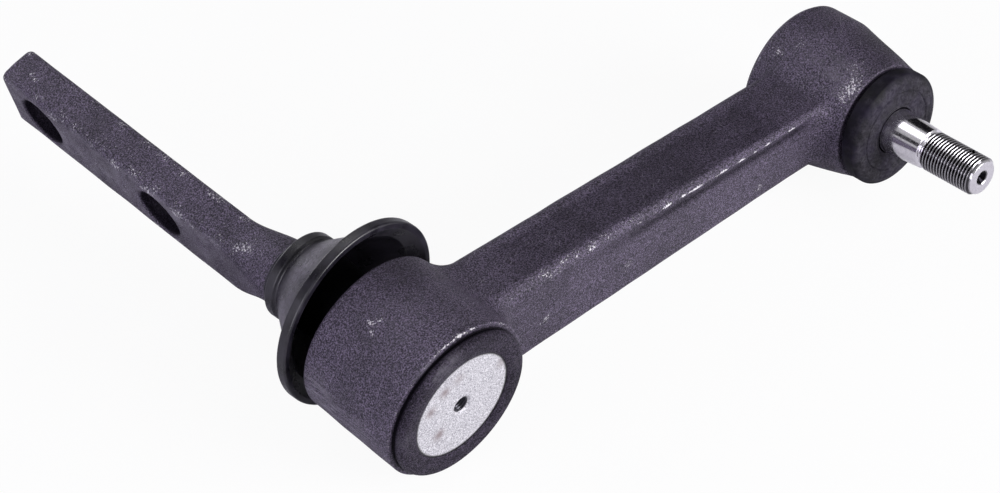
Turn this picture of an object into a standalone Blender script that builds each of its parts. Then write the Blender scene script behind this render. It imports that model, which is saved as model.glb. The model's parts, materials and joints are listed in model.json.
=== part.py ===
"""Idler arm of a truck's steering: a forged arm, a forged bracket that turns in it, and a ball stud.

Metres, +Z up. The object lies on a surface at z = 0, on the boot's lip, the barrel's cover end and the socket.

Assembly frame, before it is laid down: the pivot's axis is Y, from the cover (y = 0) to the bracket's bar, and
the arm runs along +X to the ball socket. Turned pieces stand on local +Z under an empty on their own axis.
"""

import math

import bmesh
import bpy
import numpy as np
from mathutils import Euler, Matrix, Vector

# Clearances
RUN_GAP = 0.0003  # between pieces that turn in each other
SEAT_GAP = 0.0002  # between pieces that are pressed or clamped together

# Pivot barrel, along the pivot axis from the cover's side
BARREL_RADIUS = 0.0312
BARREL_SHOULDER = 0.0046
BARREL_REAR = 0.0473
BARREL_EDGE_ROUND = 0.0008
NECK_STEP = 0.0019
NECK_ROUND = 0.0022
NECK_GROOVE = 0.0010
COVER_WALL = 0.0063  # of the neck, round the cover
COVER_RADIUS = BARREL_RADIUS - NECK_STEP - COVER_WALL
LIP_OVERLAP = 0.0016
LIP_BORE_RADIUS = COVER_RADIUS - LIP_OVERLAP
LIP_DEPTH = 0.0008
COVER_SEAT_WIDTH = 0.0015
PIVOT_BORE_RADIUS = COVER_RADIUS - COVER_SEAT_WIDTH
REAR_BORE_STEP = 0.0015
REAR_BORE_RADIUS = PIVOT_BORE_RADIUS - REAR_BORE_STEP

# Pivot cover
COVER_THICKNESS = 0.0030
COVER_RIM_DROP = 0.0004
GREASE_HOLE_RADIUS = 0.0029
GREASE_HOLE_CHAMFER = 0.0006

# Pivot spring, thrust plate, bearings and seal
PIVOT_SPRING_THICKNESS = 0.0016
PIVOT_SPRING_DISH = 0.0014
PIVOT_SPRING_WIDTH = 0.0115
PIVOT_SPRING_BORE = PIVOT_BORE_RADIUS - PIVOT_SPRING_WIDTH
THRUST_PLATE_THICKNESS = 0.0028
REAR_BUSHING_LENGTH = 0.0150
GREASE_SEAL_THICKNESS = 0.0036

# Bracket post
FRONT_BEARING_WALL = 0.0025
POST_HEAD_RADIUS = PIVOT_BORE_RADIUS - FRONT_BEARING_WALL
POST_HEAD_RIM = 0.0030
POST_HEAD_CONE = 0.0095
REAR_BUSHING_WALL = 0.0045
JOURNAL_RADIUS = REAR_BORE_RADIUS - REAR_BUSHING_WALL
POST_STEP = 0.0005
POST_RADIUS = JOURNAL_RADIUS - POST_STEP
POST_RELIEF = 0.0015

# Bracket neck and bar
FORGED_NECK_RADIUS = 0.0126
NECK_STRAIGHT = 0.0010
NECK_DROP = 0.0038
POST_BLEND_LENGTH = 0.0040
BAR_START = 0.1166
BAR_TIP = 0.2398
BAR_WIDTH = 0.0298
BAR_THICKNESS = 0.0161
BAR_CORNER_ROUND = 0.0032
BAR_TIP_ROUND = 0.0014
BAR_DROP = 0.0123
BAR_SHIFT = 0.0007
BAR_ROLL_DEG = 18.7
BAR_SPLAY_DEG = 1.1
BOLT_HOLE_RADIUS = 0.0103
BOLT_HOLE_CHAMFER = 0.0009
BOLT_HOLE_TIP_MARGIN = 0.0194
BOLT_HOLE_SPACING = 0.0680

# Pivot boot, along its own axis from the collar's back
BOOT_BACK = 0.0846
BOOT_COLLAR_WALL = 0.0022
BOOT_COLLAR_RADIUS = POST_RADIUS + BOOT_COLLAR_WALL
BOOT_COLLAR_LENGTH = 0.0038
BOOT_GROOVE_DEPTH = 0.0012
BOOT_CONE_RADIUS = 0.0305
BOOT_LIP_RADIUS = 0.0366
BOOT_LIP_THICKNESS = 0.0042
BOOT_LENGTH = 0.0300
BOOT_WALL = 0.0026
BOOT_SKEW_SIDE_DEG = 3.4
BOOT_SKEW_DOWN_DEG = 2.2

# Beam
BEAM_FRONT_AT_BARREL = 0.0154
BEAM_WIDTH_AT_BARREL = 0.0265
BEAM_HEIGHT_AT_BARREL = 0.0410
BEAM_FRONT_AT_SOCKET = 0.0170
BEAM_WIDTH_AT_SOCKET = 0.0294
BEAM_HEIGHT_AT_SOCKET = 0.0298
BEAM_CORNER_ROUND = 0.0046
BEAM_DROP = 0.0008
BEAM_BARREL_FILLET = 0.0140
BEAM_SOCKET_FILLET = 0.0075
FILLET_ROOT = 0.0030

# Ball socket
ARM_LENGTH = 0.2318
BALL_CENTRE_DEPTH = 0.0220
SOCKET_LEAN_DOWN_DEG = 8.2
SOCKET_LEAN_SIDE_DEG = 3.4
SOCKET_FRONT = 0.0166
SOCKET_FRONT_RADIUS = 0.0239
SOCKET_REAR = 0.0282
SOCKET_REAR_RADIUS = 0.0304
SOCKET_CONE_LENGTH = 0.0290
SOCKET_EDGE_ROUND = 0.0016
SOCKET_REAR_MARGIN = 0.0022
SOCKET_BORE_RADIUS = 0.0190
SOCKET_MOUTH_RADIUS = 0.0150
SOCKET_THROAT_RADIUS = 0.0118
SOCKET_THROAT_DEPTH = 0.0096
SOCKET_LIP_RADIUS = 0.0190

# Ball stud, from the ball's centre towards the thread
BALL_RADIUS = 0.0140
STUD_NECK_RADIUS = 0.0080
STUD_COLLAR_RADIUS = 0.0095
STUD_COLLAR_START = 0.0185
TAPER_START = 0.0225
TAPER_END_RADIUS = 0.0080
THREAD_START = 0.0437
THREAD_RADIUS = 0.0079
THREAD_ROOT_RADIUS = 0.0071
STUD_END = 0.0682
STUD_END_CHAMFER = 0.0012
CENTRE_DRILL_RADIUS = 0.0026
CENTRE_DRILL_DEPTH = 0.0022
COTTER_HOLE_RADIUS = 0.0017
COTTER_HOLE_MARGIN = 0.0076

# Ball seats, spring and cover
SEAT_SPLIT = 0.0004
REAR_SEAT_LENGTH = 0.0152
REAR_SEAT_HOLE = 0.0030
SOCKET_SPRING_THICKNESS = 0.0014
SOCKET_SPRING_DISH = 0.0016
SOCKET_SPRING_BORE = 0.0070
SOCKET_COVER_RADIUS = 0.0206
SOCKET_COVER_THICKNESS = 0.0026
SOCKET_LIP_DEPTH = 0.0016

# Stud seal
SEAL_RADIUS = 0.0236
SEAL_FRONT_RADIUS = 0.0208
SEAL_THICKNESS = 0.0084
SEAL_GROOVE_DEPTH = 0.0016
SEAL_GROOVE_WIDTH = 0.0014
SEAL_WALL = 0.0030

# Facets round each piece
FINE_TURN = 44
PLAIN_TURN = 28
CORNER_POINTS = 5
FLAT_POINTS = 3
FILLET_STEPS = 6


def clear_scene():
    """Remove whatever the scene starts with."""
    for thing in list(bpy.data.objects):
        bpy.data.objects.remove(thing)


def new_collection(name):
    """A collection under the scene's own."""
    made = bpy.data.collections.new(name)
    bpy.context.scene.collection.children.link(made)
    return made


def new_material(name, colour, roughness, metallic):
    """A Principled material; colour is linear red, green and blue."""
    made = bpy.data.materials.new(name)
    made.use_nodes = True
    shader = made.node_tree.nodes["Principled BSDF"]
    shader.inputs["Base Color"].default_value = (*colour, 1.0)
    shader.inputs["Roughness"].default_value = roughness
    shader.inputs["Metallic"].default_value = metallic
    made.diffuse_color = (*colour, 1.0)
    return made


def new_empty(name, collection, parent=None, matrix=None):
    """An empty that carries pieces; matrix is its place under its parent."""
    made = bpy.data.objects.new(name, None)
    collection.objects.link(made)
    made.parent = parent
    made.matrix_local = matrix or Matrix.Identity(4)
    return made


def place(thing, collection, parent, material=None):
    """Put an object in its collection, under its parent, with its material."""
    collection.objects.link(thing)
    thing.parent = parent
    if material:
        thing.data.materials.append(material)
    return thing


def as_cutter(thing):
    """Mark an object as a helper that isn't part of the model."""
    thing.hide_render = True
    thing.display_type = "WIRE"
    return thing


def fillet_points(before, corner, after, radius, count):
    """Points of the arc that rounds a corner, from its first tangent to its second."""
    first = (before - corner).normalized()
    second = (after - corner).normalized()
    half_angle = first.angle(second) / 2
    reach = radius / math.tan(half_angle)
    centre = corner + (first + second).normalized() * radius / math.sin(half_angle)
    start = corner + first * reach - centre
    end = corner + second * reach - centre
    sweep = start.angle(end)
    points = []
    for step in range(count + 1):
        share = step / count
        weight_start = math.sin((1 - share) * sweep) / math.sin(sweep)
        weight_end = math.sin(share * sweep) / math.sin(sweep)
        points.append(centre + start * weight_start + end * weight_end)
    return points


def rounded_profile(corners, closed=False, count=3):
    """Turn (radius, height, rounding) corners into points, with an arc at each corner that has a rounding."""
    flat = [Vector((radius, height)) for radius, height, _ in corners]
    points = []
    for index, (_, _, rounding) in enumerate(corners):
        at_end = not closed and index in (0, len(corners) - 1)
        if rounding and not at_end:
            after = flat[(index + 1) % len(flat)]
            points += fillet_points(flat[index - 1], flat[index], after, rounding, count)
        else:
            points.append(flat[index])
    return points


def turned(name, corners, closed=False, steps=PLAIN_TURN, count=3):
    """A solid of revolution about local Z. An open profile starts and ends on the axis, and a closed one is a ring.

    Both run down the outer side first, so that the faces point out.
    """
    points = rounded_profile(corners, closed, count)
    mesh = bpy.data.meshes.new(name)
    edges = [(index, index + 1) for index in range(len(points) - 1)]
    if closed:
        edges.append((len(points) - 1, 0))
    mesh.from_pydata([(point.x, 0.0, point.y) for point in points], edges, [])
    made = bpy.data.objects.new(name, mesh)
    screw = made.modifiers.new("turn", "SCREW")
    screw.steps = steps
    screw.render_steps = steps
    screw.use_merge_vertices = True
    screw.merge_threshold = 0.00001
    screw.use_normal_calculate = False
    return made


def section(half_width, half_height, rounding):
    """Points of a rounded rectangle with their outward directions, a circle when the rounding equals both halves."""
    rounding = min(rounding, half_width, half_height)
    side = half_width - rounding
    up = half_height - rounding
    corners = ((side, up), (-side, up), (-side, -up), (side, -up))
    points = []
    for index, (centre_x, centre_y) in enumerate(corners):
        for step in range(CORNER_POINTS):
            angle = math.radians(90 * (index + (step + 0.5) / CORNER_POINTS))
            out = Vector((math.cos(angle), math.sin(angle)))
            points.append((Vector((centre_x, centre_y)) + out * rounding, out))
        following = corners[(index + 1) % 4]
        out = Vector((math.cos(math.radians(90 * (index + 1))), math.sin(math.radians(90 * (index + 1)))))
        for step in range(1, FLAT_POINTS + 1):
            share = step / (FLAT_POINTS + 1)
            middle = Vector((centre_x, centre_y)).lerp(Vector(following), share)
            points.append((middle + out * rounding, out))
    return points


def loft(name, rings):
    """A closed skin over rings of equal length, with a flat cap on each end."""
    mesh = bpy.data.meshes.new(name)
    skin = bmesh.new()
    rows = [[skin.verts.new(point) for point in ring] for ring in rings]
    for row, following in zip(rows, rows[1:]):
        for index in range(len(row)):
            ahead = (index + 1) % len(row)
            skin.faces.new((row[index], row[ahead], following[ahead], following[index]))
    skin.faces.new(rows[0])
    skin.faces.new(rows[-1])
    bmesh.ops.recalc_face_normals(skin, faces=skin.faces)
    skin.to_mesh(mesh)
    skin.free()
    return bpy.data.objects.new(name, mesh)


def boolean(target, tool, operation):
    """Join or cut one mesh object with another."""
    modifier = target.modifiers.new(operation.lower() + "_" + tool.name, "BOOLEAN")
    modifier.operation = operation
    modifier.solver = "EXACT"
    modifier.object = tool


def smooth(thing):
    """Shade round faces smooth and keep the real edges."""
    thing.data.shade_smooth()
    thing.data.set_sharp_from_angle(angle=math.radians(35))


def between(start, end, share):
    """A direction part of the way round from one to another, at the length of the first."""
    sweep = start.angle(end)
    return (start * math.sin((1 - share) * sweep) + end * math.sin(share * sweep)) / math.sin(sweep)


# Stations along the pivot that several pieces share
BOOT_SKEW = math.radians(math.hypot(BOOT_SKEW_SIDE_DEG, BOOT_SKEW_DOWN_DEG))
NECK_START = BOOT_BACK + RUN_GAP + BOOT_COLLAR_RADIUS * math.sin(BOOT_SKEW)
COVER_FACE = LIP_DEPTH + SEAT_GAP
COVER_BACK = COVER_FACE + COVER_THICKNESS
PIVOT_SHOULDER = COVER_BACK + SEAT_GAP
SPRING_TOP = PIVOT_SHOULDER + PIVOT_SPRING_THICKNESS + PIVOT_SPRING_DISH
THRUST_PLATE_FACE = SPRING_TOP + SEAT_GAP
HEAD_FACE = THRUST_PLATE_FACE + THRUST_PLATE_THICKNESS + SEAT_GAP
HEAD_CONE_START = HEAD_FACE + POST_HEAD_RIM
JOURNAL_START = HEAD_CONE_START + POST_HEAD_CONE
REAR_BORE_START = JOURNAL_START + SEAT_GAP
REAR_BUSHING_START = REAR_BORE_START + SEAT_GAP
REAR_BUSHING_END = REAR_BUSHING_START + REAR_BUSHING_LENGTH
GREASE_SEAL_END = BARREL_REAR - SEAT_GAP
GREASE_SEAL_START = GREASE_SEAL_END - GREASE_SEAL_THICKNESS

# Stations along the socket's axis, from the ball's centre towards the back
SEAT_BORE_START = -SOCKET_THROAT_DEPTH
REAR_SEAT_END = SEAT_SPLIT + REAR_SEAT_LENGTH
SOCKET_SPRING_START = REAR_SEAT_END + SEAT_GAP
SOCKET_SPRING_END = SOCKET_SPRING_START + SOCKET_SPRING_THICKNESS + SOCKET_SPRING_DISH
SOCKET_COVER_START = SOCKET_SPRING_END + SEAT_GAP
SOCKET_COVER_END = SOCKET_COVER_START + SOCKET_COVER_THICKNESS
SOCKET_LIP_END = SOCKET_COVER_END + SEAT_GAP + SOCKET_LIP_DEPTH


def beam_ring(along):
    """Points of the beam's section at a distance along the arm, with their outward directions."""
    share = along / ARM_LENGTH
    width = BEAM_WIDTH_AT_BARREL + share * (BEAM_WIDTH_AT_SOCKET - BEAM_WIDTH_AT_BARREL)
    height = BEAM_HEIGHT_AT_BARREL + share * (BEAM_HEIGHT_AT_SOCKET - BEAM_HEIGHT_AT_BARREL)
    front = BEAM_FRONT_AT_BARREL + share * (BEAM_FRONT_AT_SOCKET - BEAM_FRONT_AT_BARREL)
    ring = section(width / 2, height / 2, BEAM_CORNER_ROUND)
    middle = front + width / 2
    return [(Vector((along, middle + point.x, point.y - BEAM_DROP)), Vector((0.0, out.x, out.y))) for point, out in ring]


def barrel_wall(depth):
    """Radius and slope of the barrel at a distance along the pivot."""
    return BARREL_RADIUS, 0.0


def socket_wall(depth):
    """Radius and slope of the socket housing at a distance along its axis from the ball's centre."""
    cone_end = SOCKET_CONE_LENGTH - SOCKET_FRONT
    slope = (SOCKET_REAR_RADIUS - SOCKET_FRONT_RADIUS) / SOCKET_CONE_LENGTH
    if depth > cone_end:
        return SOCKET_REAR_RADIUS, 0.0
    return SOCKET_REAR_RADIUS + (depth - cone_end) * slope, math.atan(slope)


def standoff(point, base, axis, wall):
    """Distance from a point to a turned wall, and the wall's outward direction below that point."""
    from_base = point - base
    depth = from_base.dot(axis)
    radius, slope = wall(depth)
    away = from_base - axis * depth
    out = away.normalized() * math.cos(slope) - axis * math.sin(slope)
    return (away.length - radius) * math.cos(slope), out


def rolled_fillet(ring, radii, inner, base, axis, wall):
    """Rings of the fillet that a ball leaves as it rolls round the beam where the beam meets a turned wall.

    At each point of the ring the ball touches the beam and slides along X, from inside the wall at inner, until it
    touches the wall too. The last ring lies inside the wall.
    """
    rows = [[] for _ in range(FILLET_STEPS + 1)]
    for (point, out), radius in zip(ring, radii):
        near, far = inner, point.x
        for _ in range(40):
            centre = Vector(((near + far) / 2, point.y, point.z)) + out * radius
            distance, wall_out = standoff(centre, base, axis, wall)
            if distance > radius:
                far = centre.x
            else:
                near = centre.x
        for step in range(FILLET_STEPS):
            share = 0.94 * step / (FILLET_STEPS - 1)
            rows[step].append(centre + between(-out * radius, -wall_out * radius, share))
        rows[-1].append(centre - wall_out * (radius + FILLET_ROOT))
    return rows


def fillet_radii(ring, fillet, front_room, rear_room):
    """The fillet's radius at each point of a ring, limited on the sides by the wall that is left there."""
    radii = []
    for _, out in ring:
        side = min(fillet, rear_room if out.y > 0 else front_room)
        radii.append(side * out.y**2 + fillet * out.z**2)
    return radii


def beam(socket_axis):
    """The beam, filleted onto the barrel and onto the socket housing."""
    pivot_axis = Vector((0.0, 1.0, 0.0))
    ball_centre = Vector((ARM_LENGTH, BALL_CENTRE_DEPTH, 0.0))
    at_barrel = beam_ring(BARREL_RADIUS + BEAM_BARREL_FILLET)
    front = min(point.y for point, _ in at_barrel)
    rear = max(point.y for point, _ in at_barrel)
    rooms = (front - BARREL_SHOULDER - 2 * BARREL_EDGE_ROUND, BARREL_REAR - 2 * BARREL_EDGE_ROUND - rear)
    radii = fillet_radii(at_barrel, BEAM_BARREL_FILLET, *rooms)
    near = rolled_fillet(at_barrel, radii, 0.0, Vector(), pivot_axis, barrel_wall)
    at_socket = beam_ring(ARM_LENGTH - SOCKET_REAR_RADIUS - BEAM_SOCKET_FILLET)
    front = min(point.y for point, _ in at_socket)
    rear = max(point.y for point, _ in at_socket)
    housing_front = BALL_CENTRE_DEPTH - SOCKET_FRONT
    housing_rear = BALL_CENTRE_DEPTH + SOCKET_REAR
    rooms = (front - housing_front - SOCKET_EDGE_ROUND, housing_rear - SOCKET_REAR_MARGIN - rear)
    radii = fillet_radii(at_socket, BEAM_SOCKET_FILLET, *rooms)
    far = rolled_fillet(at_socket, radii, ARM_LENGTH, ball_centre, socket_axis, socket_wall)
    return loft("arm_forging", near[::-1] + far)


def barrel_blank():
    """The barrel before its bore is cut: its wall, a shoulder, and a neck that is a step smaller."""
    neck = BARREL_RADIUS - NECK_STEP
    corners = [
        (0.0, BARREL_REAR, 0),
        (BARREL_RADIUS, BARREL_REAR, 2 * BARREL_EDGE_ROUND),
        (BARREL_RADIUS, BARREL_SHOULDER, BARREL_EDGE_ROUND),
        (neck - NECK_GROOVE, BARREL_SHOULDER - NECK_GROOVE, 0),
        (neck, BARREL_SHOULDER - 2 * NECK_GROOVE, 0),
        (neck, 0.0, NECK_ROUND),
        (0.0, 0.0, 0),
    ]
    return turned("barrel_blank", corners, steps=FINE_TURN)


def pivot_bore():
    """What is cut from the barrel: the cover's groove under the rolled lip, the bearing bore and the rear bore."""
    cone_end = REAR_BORE_START
    corners = [
        (0.0, BARREL_REAR + 0.005, 0),
        (REAR_BORE_RADIUS, BARREL_REAR + 0.005, 0),
        (REAR_BORE_RADIUS, cone_end, 0),
        (PIVOT_BORE_RADIUS, cone_end, 0),
        (PIVOT_BORE_RADIUS, PIVOT_SHOULDER, 0),
        (COVER_RADIUS + SEAT_GAP, PIVOT_SHOULDER, 0),
        (COVER_RADIUS + SEAT_GAP, LIP_DEPTH + COVER_RIM_DROP, 0),
        (LIP_BORE_RADIUS, LIP_DEPTH, 0),
        (LIP_BORE_RADIUS + 0.0006, -0.005, 0),
        (0.0, -0.005, 0),
    ]
    return turned("pivot_bore", corners, steps=FINE_TURN)


def socket_blank():
    """The socket housing before its bore is cut: a cone that runs out into a short cylinder."""
    cone_end = SOCKET_CONE_LENGTH - SOCKET_FRONT
    corners = [
        (0.0, SOCKET_REAR, 0),
        (SOCKET_REAR_RADIUS, SOCKET_REAR, SOCKET_EDGE_ROUND),
        (SOCKET_REAR_RADIUS, cone_end, 4 * SOCKET_EDGE_ROUND),
        (SOCKET_FRONT_RADIUS, -SOCKET_FRONT, SOCKET_EDGE_ROUND / 2),
        (0.0, -SOCKET_FRONT, 0),
    ]
    return turned("socket_blank", corners, steps=FINE_TURN)


def socket_bore():
    """What is cut from the socket: mouth, throat, seat bore, the cover's groove and the recess behind it."""
    corners = [
        (0.0, SOCKET_REAR + 0.004, 0),
        (SOCKET_COVER_RADIUS + 0.003, SOCKET_REAR + 0.004, 0),
        (SOCKET_LIP_RADIUS, SOCKET_LIP_END, 0),
        (SOCKET_LIP_RADIUS, SOCKET_COVER_END + SEAT_GAP, 0),
        (SOCKET_COVER_RADIUS + SEAT_GAP, SOCKET_COVER_END + SEAT_GAP, 0),
        (SOCKET_COVER_RADIUS + SEAT_GAP, SOCKET_COVER_START - SEAT_GAP, 0),
        (SOCKET_BORE_RADIUS, SOCKET_COVER_START - SEAT_GAP, 0),
        (SOCKET_BORE_RADIUS, SEAT_BORE_START, 0),
        (SOCKET_THROAT_RADIUS, SEAT_BORE_START, 0),
        (SOCKET_MOUTH_RADIUS, -SOCKET_FRONT - 0.002, 0),
        (0.0, -SOCKET_FRONT - 0.002, 0),
    ]
    return turned("socket_bore", corners, steps=FINE_TURN)


def arm_forging(parts, cutters, root, pivot, socket, material):
    """The arm: a flared beam joined to the barrel and the socket, and then bored."""
    # matrix_basis holds the lean at once, while matrix_local waits for the scene's next update
    socket_axis = socket.matrix_basis.to_3x3() @ Vector((0.0, 0.0, 1.0))
    made = place(beam(socket_axis), parts, root, material)
    steps = (
        (barrel_blank(), pivot, "UNION"),
        (socket_blank(), socket, "UNION"),
        (pivot_bore(), pivot, "DIFFERENCE"),
        (socket_bore(), socket, "DIFFERENCE"),
    )
    for tool, parent, operation in steps:
        boolean(made, as_cutter(place(tool, cutters, parent)), operation)
    return made


def bar_axes():
    """Directions of the bar's width and of its bolting face, square to its length, in the assembly frame."""
    roll = math.radians(BAR_ROLL_DEG)
    splay = math.radians(BAR_SPLAY_DEG)
    length = Vector((-math.sin(splay), math.cos(splay), 0.0))
    width = Vector((math.sin(roll), 0.0, -math.cos(roll)))
    width = (width - length * width.dot(length)).normalized()
    return length, width, length.cross(width)


def bar_centre(along):
    """The middle of the bracket's section at a distance along the pivot: it drops from the post to the bar."""
    start = NECK_START + NECK_STRAIGHT
    share = min(max((along - start) / (BAR_START - start), 0.0), 1.0)
    ease = share * share * (3 - 2 * share)
    splay = math.tan(math.radians(BAR_SPLAY_DEG)) * max(along - BAR_START, 0.0)
    drop = NECK_DROP + (BAR_DROP - NECK_DROP) * ease
    return Vector((BAR_SHIFT * ease - splay, along, -drop))


def bracket_ring(along, inset=0.0):
    """One ring of the forged bracket, round at the neck and a rounded rectangle along the bar."""
    start = NECK_START + NECK_STRAIGHT
    share = min(max((along - start) / (BAR_START - start), 0.0), 1.0)
    ease = share * share * (3 - 2 * share)
    half_width = FORGED_NECK_RADIUS + ease * (BAR_WIDTH / 2 - FORGED_NECK_RADIUS) - inset
    half_thickness = FORGED_NECK_RADIUS + ease * (BAR_THICKNESS / 2 - FORGED_NECK_RADIUS) - inset
    rounding = FORGED_NECK_RADIUS + ease * (BAR_CORNER_ROUND - FORGED_NECK_RADIUS)
    _, width, face = bar_axes()
    centre = bar_centre(along)
    ring = section(half_width, half_thickness, rounding)
    return [centre + width * point.x + face * point.y for point, _ in ring]


def bracket_post():
    """The machined post: its head, cone and journal in the barrel, and the length that the boot grips."""
    corners = [
        (0.0, NECK_START + POST_BLEND_LENGTH, 0),
        (FORGED_NECK_RADIUS - NECK_DROP, NECK_START + POST_BLEND_LENGTH, 0),
        (POST_RADIUS, NECK_START, 0),
        (POST_RADIUS, GREASE_SEAL_END + POST_RELIEF, 0),
        (JOURNAL_RADIUS, GREASE_SEAL_END, 0),
        (JOURNAL_RADIUS, JOURNAL_START, 0),
        (POST_HEAD_RADIUS, HEAD_CONE_START, 0),
        (POST_HEAD_RADIUS, HEAD_FACE, POST_HEAD_RIM / 4),
        (0.0, HEAD_FACE, 0),
    ]
    return turned("bracket_post", corners, steps=FINE_TURN)


def bolt_hole(name):
    """A cutter for one bolt hole, chamfered at both faces."""
    half = BAR_THICKNESS / 2
    wide = BOLT_HOLE_RADIUS + BOLT_HOLE_CHAMFER
    corners = [
        (0.0, half + 0.004, 0),
        (wide + 0.004, half + 0.004, 0),
        (BOLT_HOLE_RADIUS, half - BOLT_HOLE_CHAMFER, 0),
        (BOLT_HOLE_RADIUS, BOLT_HOLE_CHAMFER - half, 0),
        (wide + 0.004, -half - 0.004, 0),
        (0.0, -half - 0.004, 0),
    ]
    return turned(name, corners, steps=PLAIN_TURN)


def bolt_hole_stations():
    """Distances along the pivot of the two bolt holes, the one near the tip first."""
    outer = BAR_TIP - BOLT_HOLE_TIP_MARGIN
    return outer, outer - BOLT_HOLE_SPACING


def bolt_hole_frame(along):
    """Place of a bolt hole: local Z along the hole, out of the bolting face."""
    length, width, face = bar_axes()
    matrix = Matrix((length, width, face)).transposed().to_4x4()
    matrix.translation = bar_centre(along)
    return matrix


def idler_bracket(parts, cutters, root, pivot, material):
    """The bracket: a forged neck and bar on a machined post, with two bolt holes."""
    start = NECK_START + NECK_STRAIGHT
    blend = [start + (BAR_START - start) * share for share in (0.15, 0.3, 0.45, 0.6, 0.75, 0.9, 1.0)]
    stations = [NECK_START, start] + blend + [BAR_TIP - BAR_TIP_ROUND]
    rings = [bracket_ring(along) for along in stations]
    rings.append(bracket_ring(BAR_TIP - BAR_TIP_ROUND * 0.3, BAR_TIP_ROUND * 0.3))
    rings.append(bracket_ring(BAR_TIP, BAR_TIP_ROUND))
    made = place(loft("idler_bracket", rings), parts, root, material)
    boolean(made, as_cutter(place(bracket_post(), cutters, pivot)), "UNION")
    for name, along in zip(("outer_bolt_hole", "inner_bolt_hole"), bolt_hole_stations()):
        hole = as_cutter(place(bolt_hole(name), cutters, root))
        hole.matrix_local = bolt_hole_frame(along)
        boolean(made, hole, "DIFFERENCE")
    return made


def pivot_cover():
    """The closing disc: a rim that slopes back under the rolled lip, and a chamfered grease hole."""
    hole = GREASE_HOLE_RADIUS
    corners = [
        (COVER_RADIUS, COVER_BACK, 0),
        (COVER_RADIUS, COVER_FACE + COVER_RIM_DROP, 0),
        (LIP_BORE_RADIUS - RUN_GAP, COVER_FACE, 0),
        (hole + GREASE_HOLE_CHAMFER, COVER_FACE, 0),
        (hole, COVER_FACE + GREASE_HOLE_CHAMFER, 0),
        (hole, COVER_BACK, 0),
    ]
    return turned("pivot_cover", corners, closed=True, steps=FINE_TURN)


def dished_washer(name, outer, bore, start, thickness, dish):
    """A dished spring washer whose outer edge rests at start and whose bore stands off by the dish."""
    corners = [
        (outer, start + thickness, 0),
        (outer, start, 0),
        (bore, start + dish, 0),
        (bore, start + dish + thickness, 0),
    ]
    return turned(name, corners, closed=True)


def pivot_spring():
    """The preload spring between the cover and the thrust plate."""
    outer = PIVOT_BORE_RADIUS - RUN_GAP
    return dished_washer(
        "pivot_spring", outer, PIVOT_SPRING_BORE, PIVOT_SHOULDER, PIVOT_SPRING_THICKNESS, PIVOT_SPRING_DISH
    )


def pivot_thrust_plate():
    """The plate that the spring presses on the post's head, with a hole that lets grease through."""
    outer = PIVOT_BORE_RADIUS - RUN_GAP
    back = THRUST_PLATE_FACE + THRUST_PLATE_THICKNESS
    corners = [
        (outer, back, 0),
        (outer, THRUST_PLATE_FACE, 0),
        (GREASE_HOLE_RADIUS, THRUST_PLATE_FACE, 0),
        (GREASE_HOLE_RADIUS, back, 0),
    ]
    return turned("pivot_thrust_plate", corners, closed=True)


def pivot_front_bearing():
    """The tapered ring that the post's head seats in."""
    outer = PIVOT_BORE_RADIUS - SEAT_GAP
    wide = POST_HEAD_RADIUS + RUN_GAP
    narrow = JOURNAL_RADIUS + RUN_GAP
    corners = [
        (outer, JOURNAL_START, 0),
        (outer, HEAD_FACE + SEAT_GAP, 0),
        (wide, HEAD_FACE + SEAT_GAP, 0),
        (wide, HEAD_CONE_START + RUN_GAP, 0),
        (narrow, JOURNAL_START, 0),
    ]
    return turned("pivot_front_bearing", corners, closed=True)


def pivot_rear_bushing():
    """The plain bush round the post's journal."""
    corners = [
        (REAR_BORE_RADIUS - SEAT_GAP, REAR_BUSHING_END, 0),
        (REAR_BORE_RADIUS - SEAT_GAP, REAR_BUSHING_START, 0),
        (JOURNAL_RADIUS + RUN_GAP, REAR_BUSHING_START, 0),
        (JOURNAL_RADIUS + RUN_GAP, REAR_BUSHING_END, 0),
    ]
    return turned("pivot_rear_bushing", corners, closed=True)


def pivot_grease_seal():
    """The seal ring in the barrel's rear mouth, with a lip that leans on the journal."""
    lean = GREASE_SEAL_THICKNESS / 3
    corners = [
        (REAR_BORE_RADIUS - SEAT_GAP, GREASE_SEAL_END, 0),
        (REAR_BORE_RADIUS - SEAT_GAP, GREASE_SEAL_START, 0),
        (JOURNAL_RADIUS + 4 * RUN_GAP, GREASE_SEAL_START, 0),
        (JOURNAL_RADIUS + RUN_GAP, GREASE_SEAL_START + lean, 0),
        (JOURNAL_RADIUS + RUN_GAP, GREASE_SEAL_START + 2 * lean, 0),
        (JOURNAL_RADIUS + 4 * RUN_GAP, GREASE_SEAL_END, 0),
    ]
    return turned("pivot_grease_seal", corners, closed=True)


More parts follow.
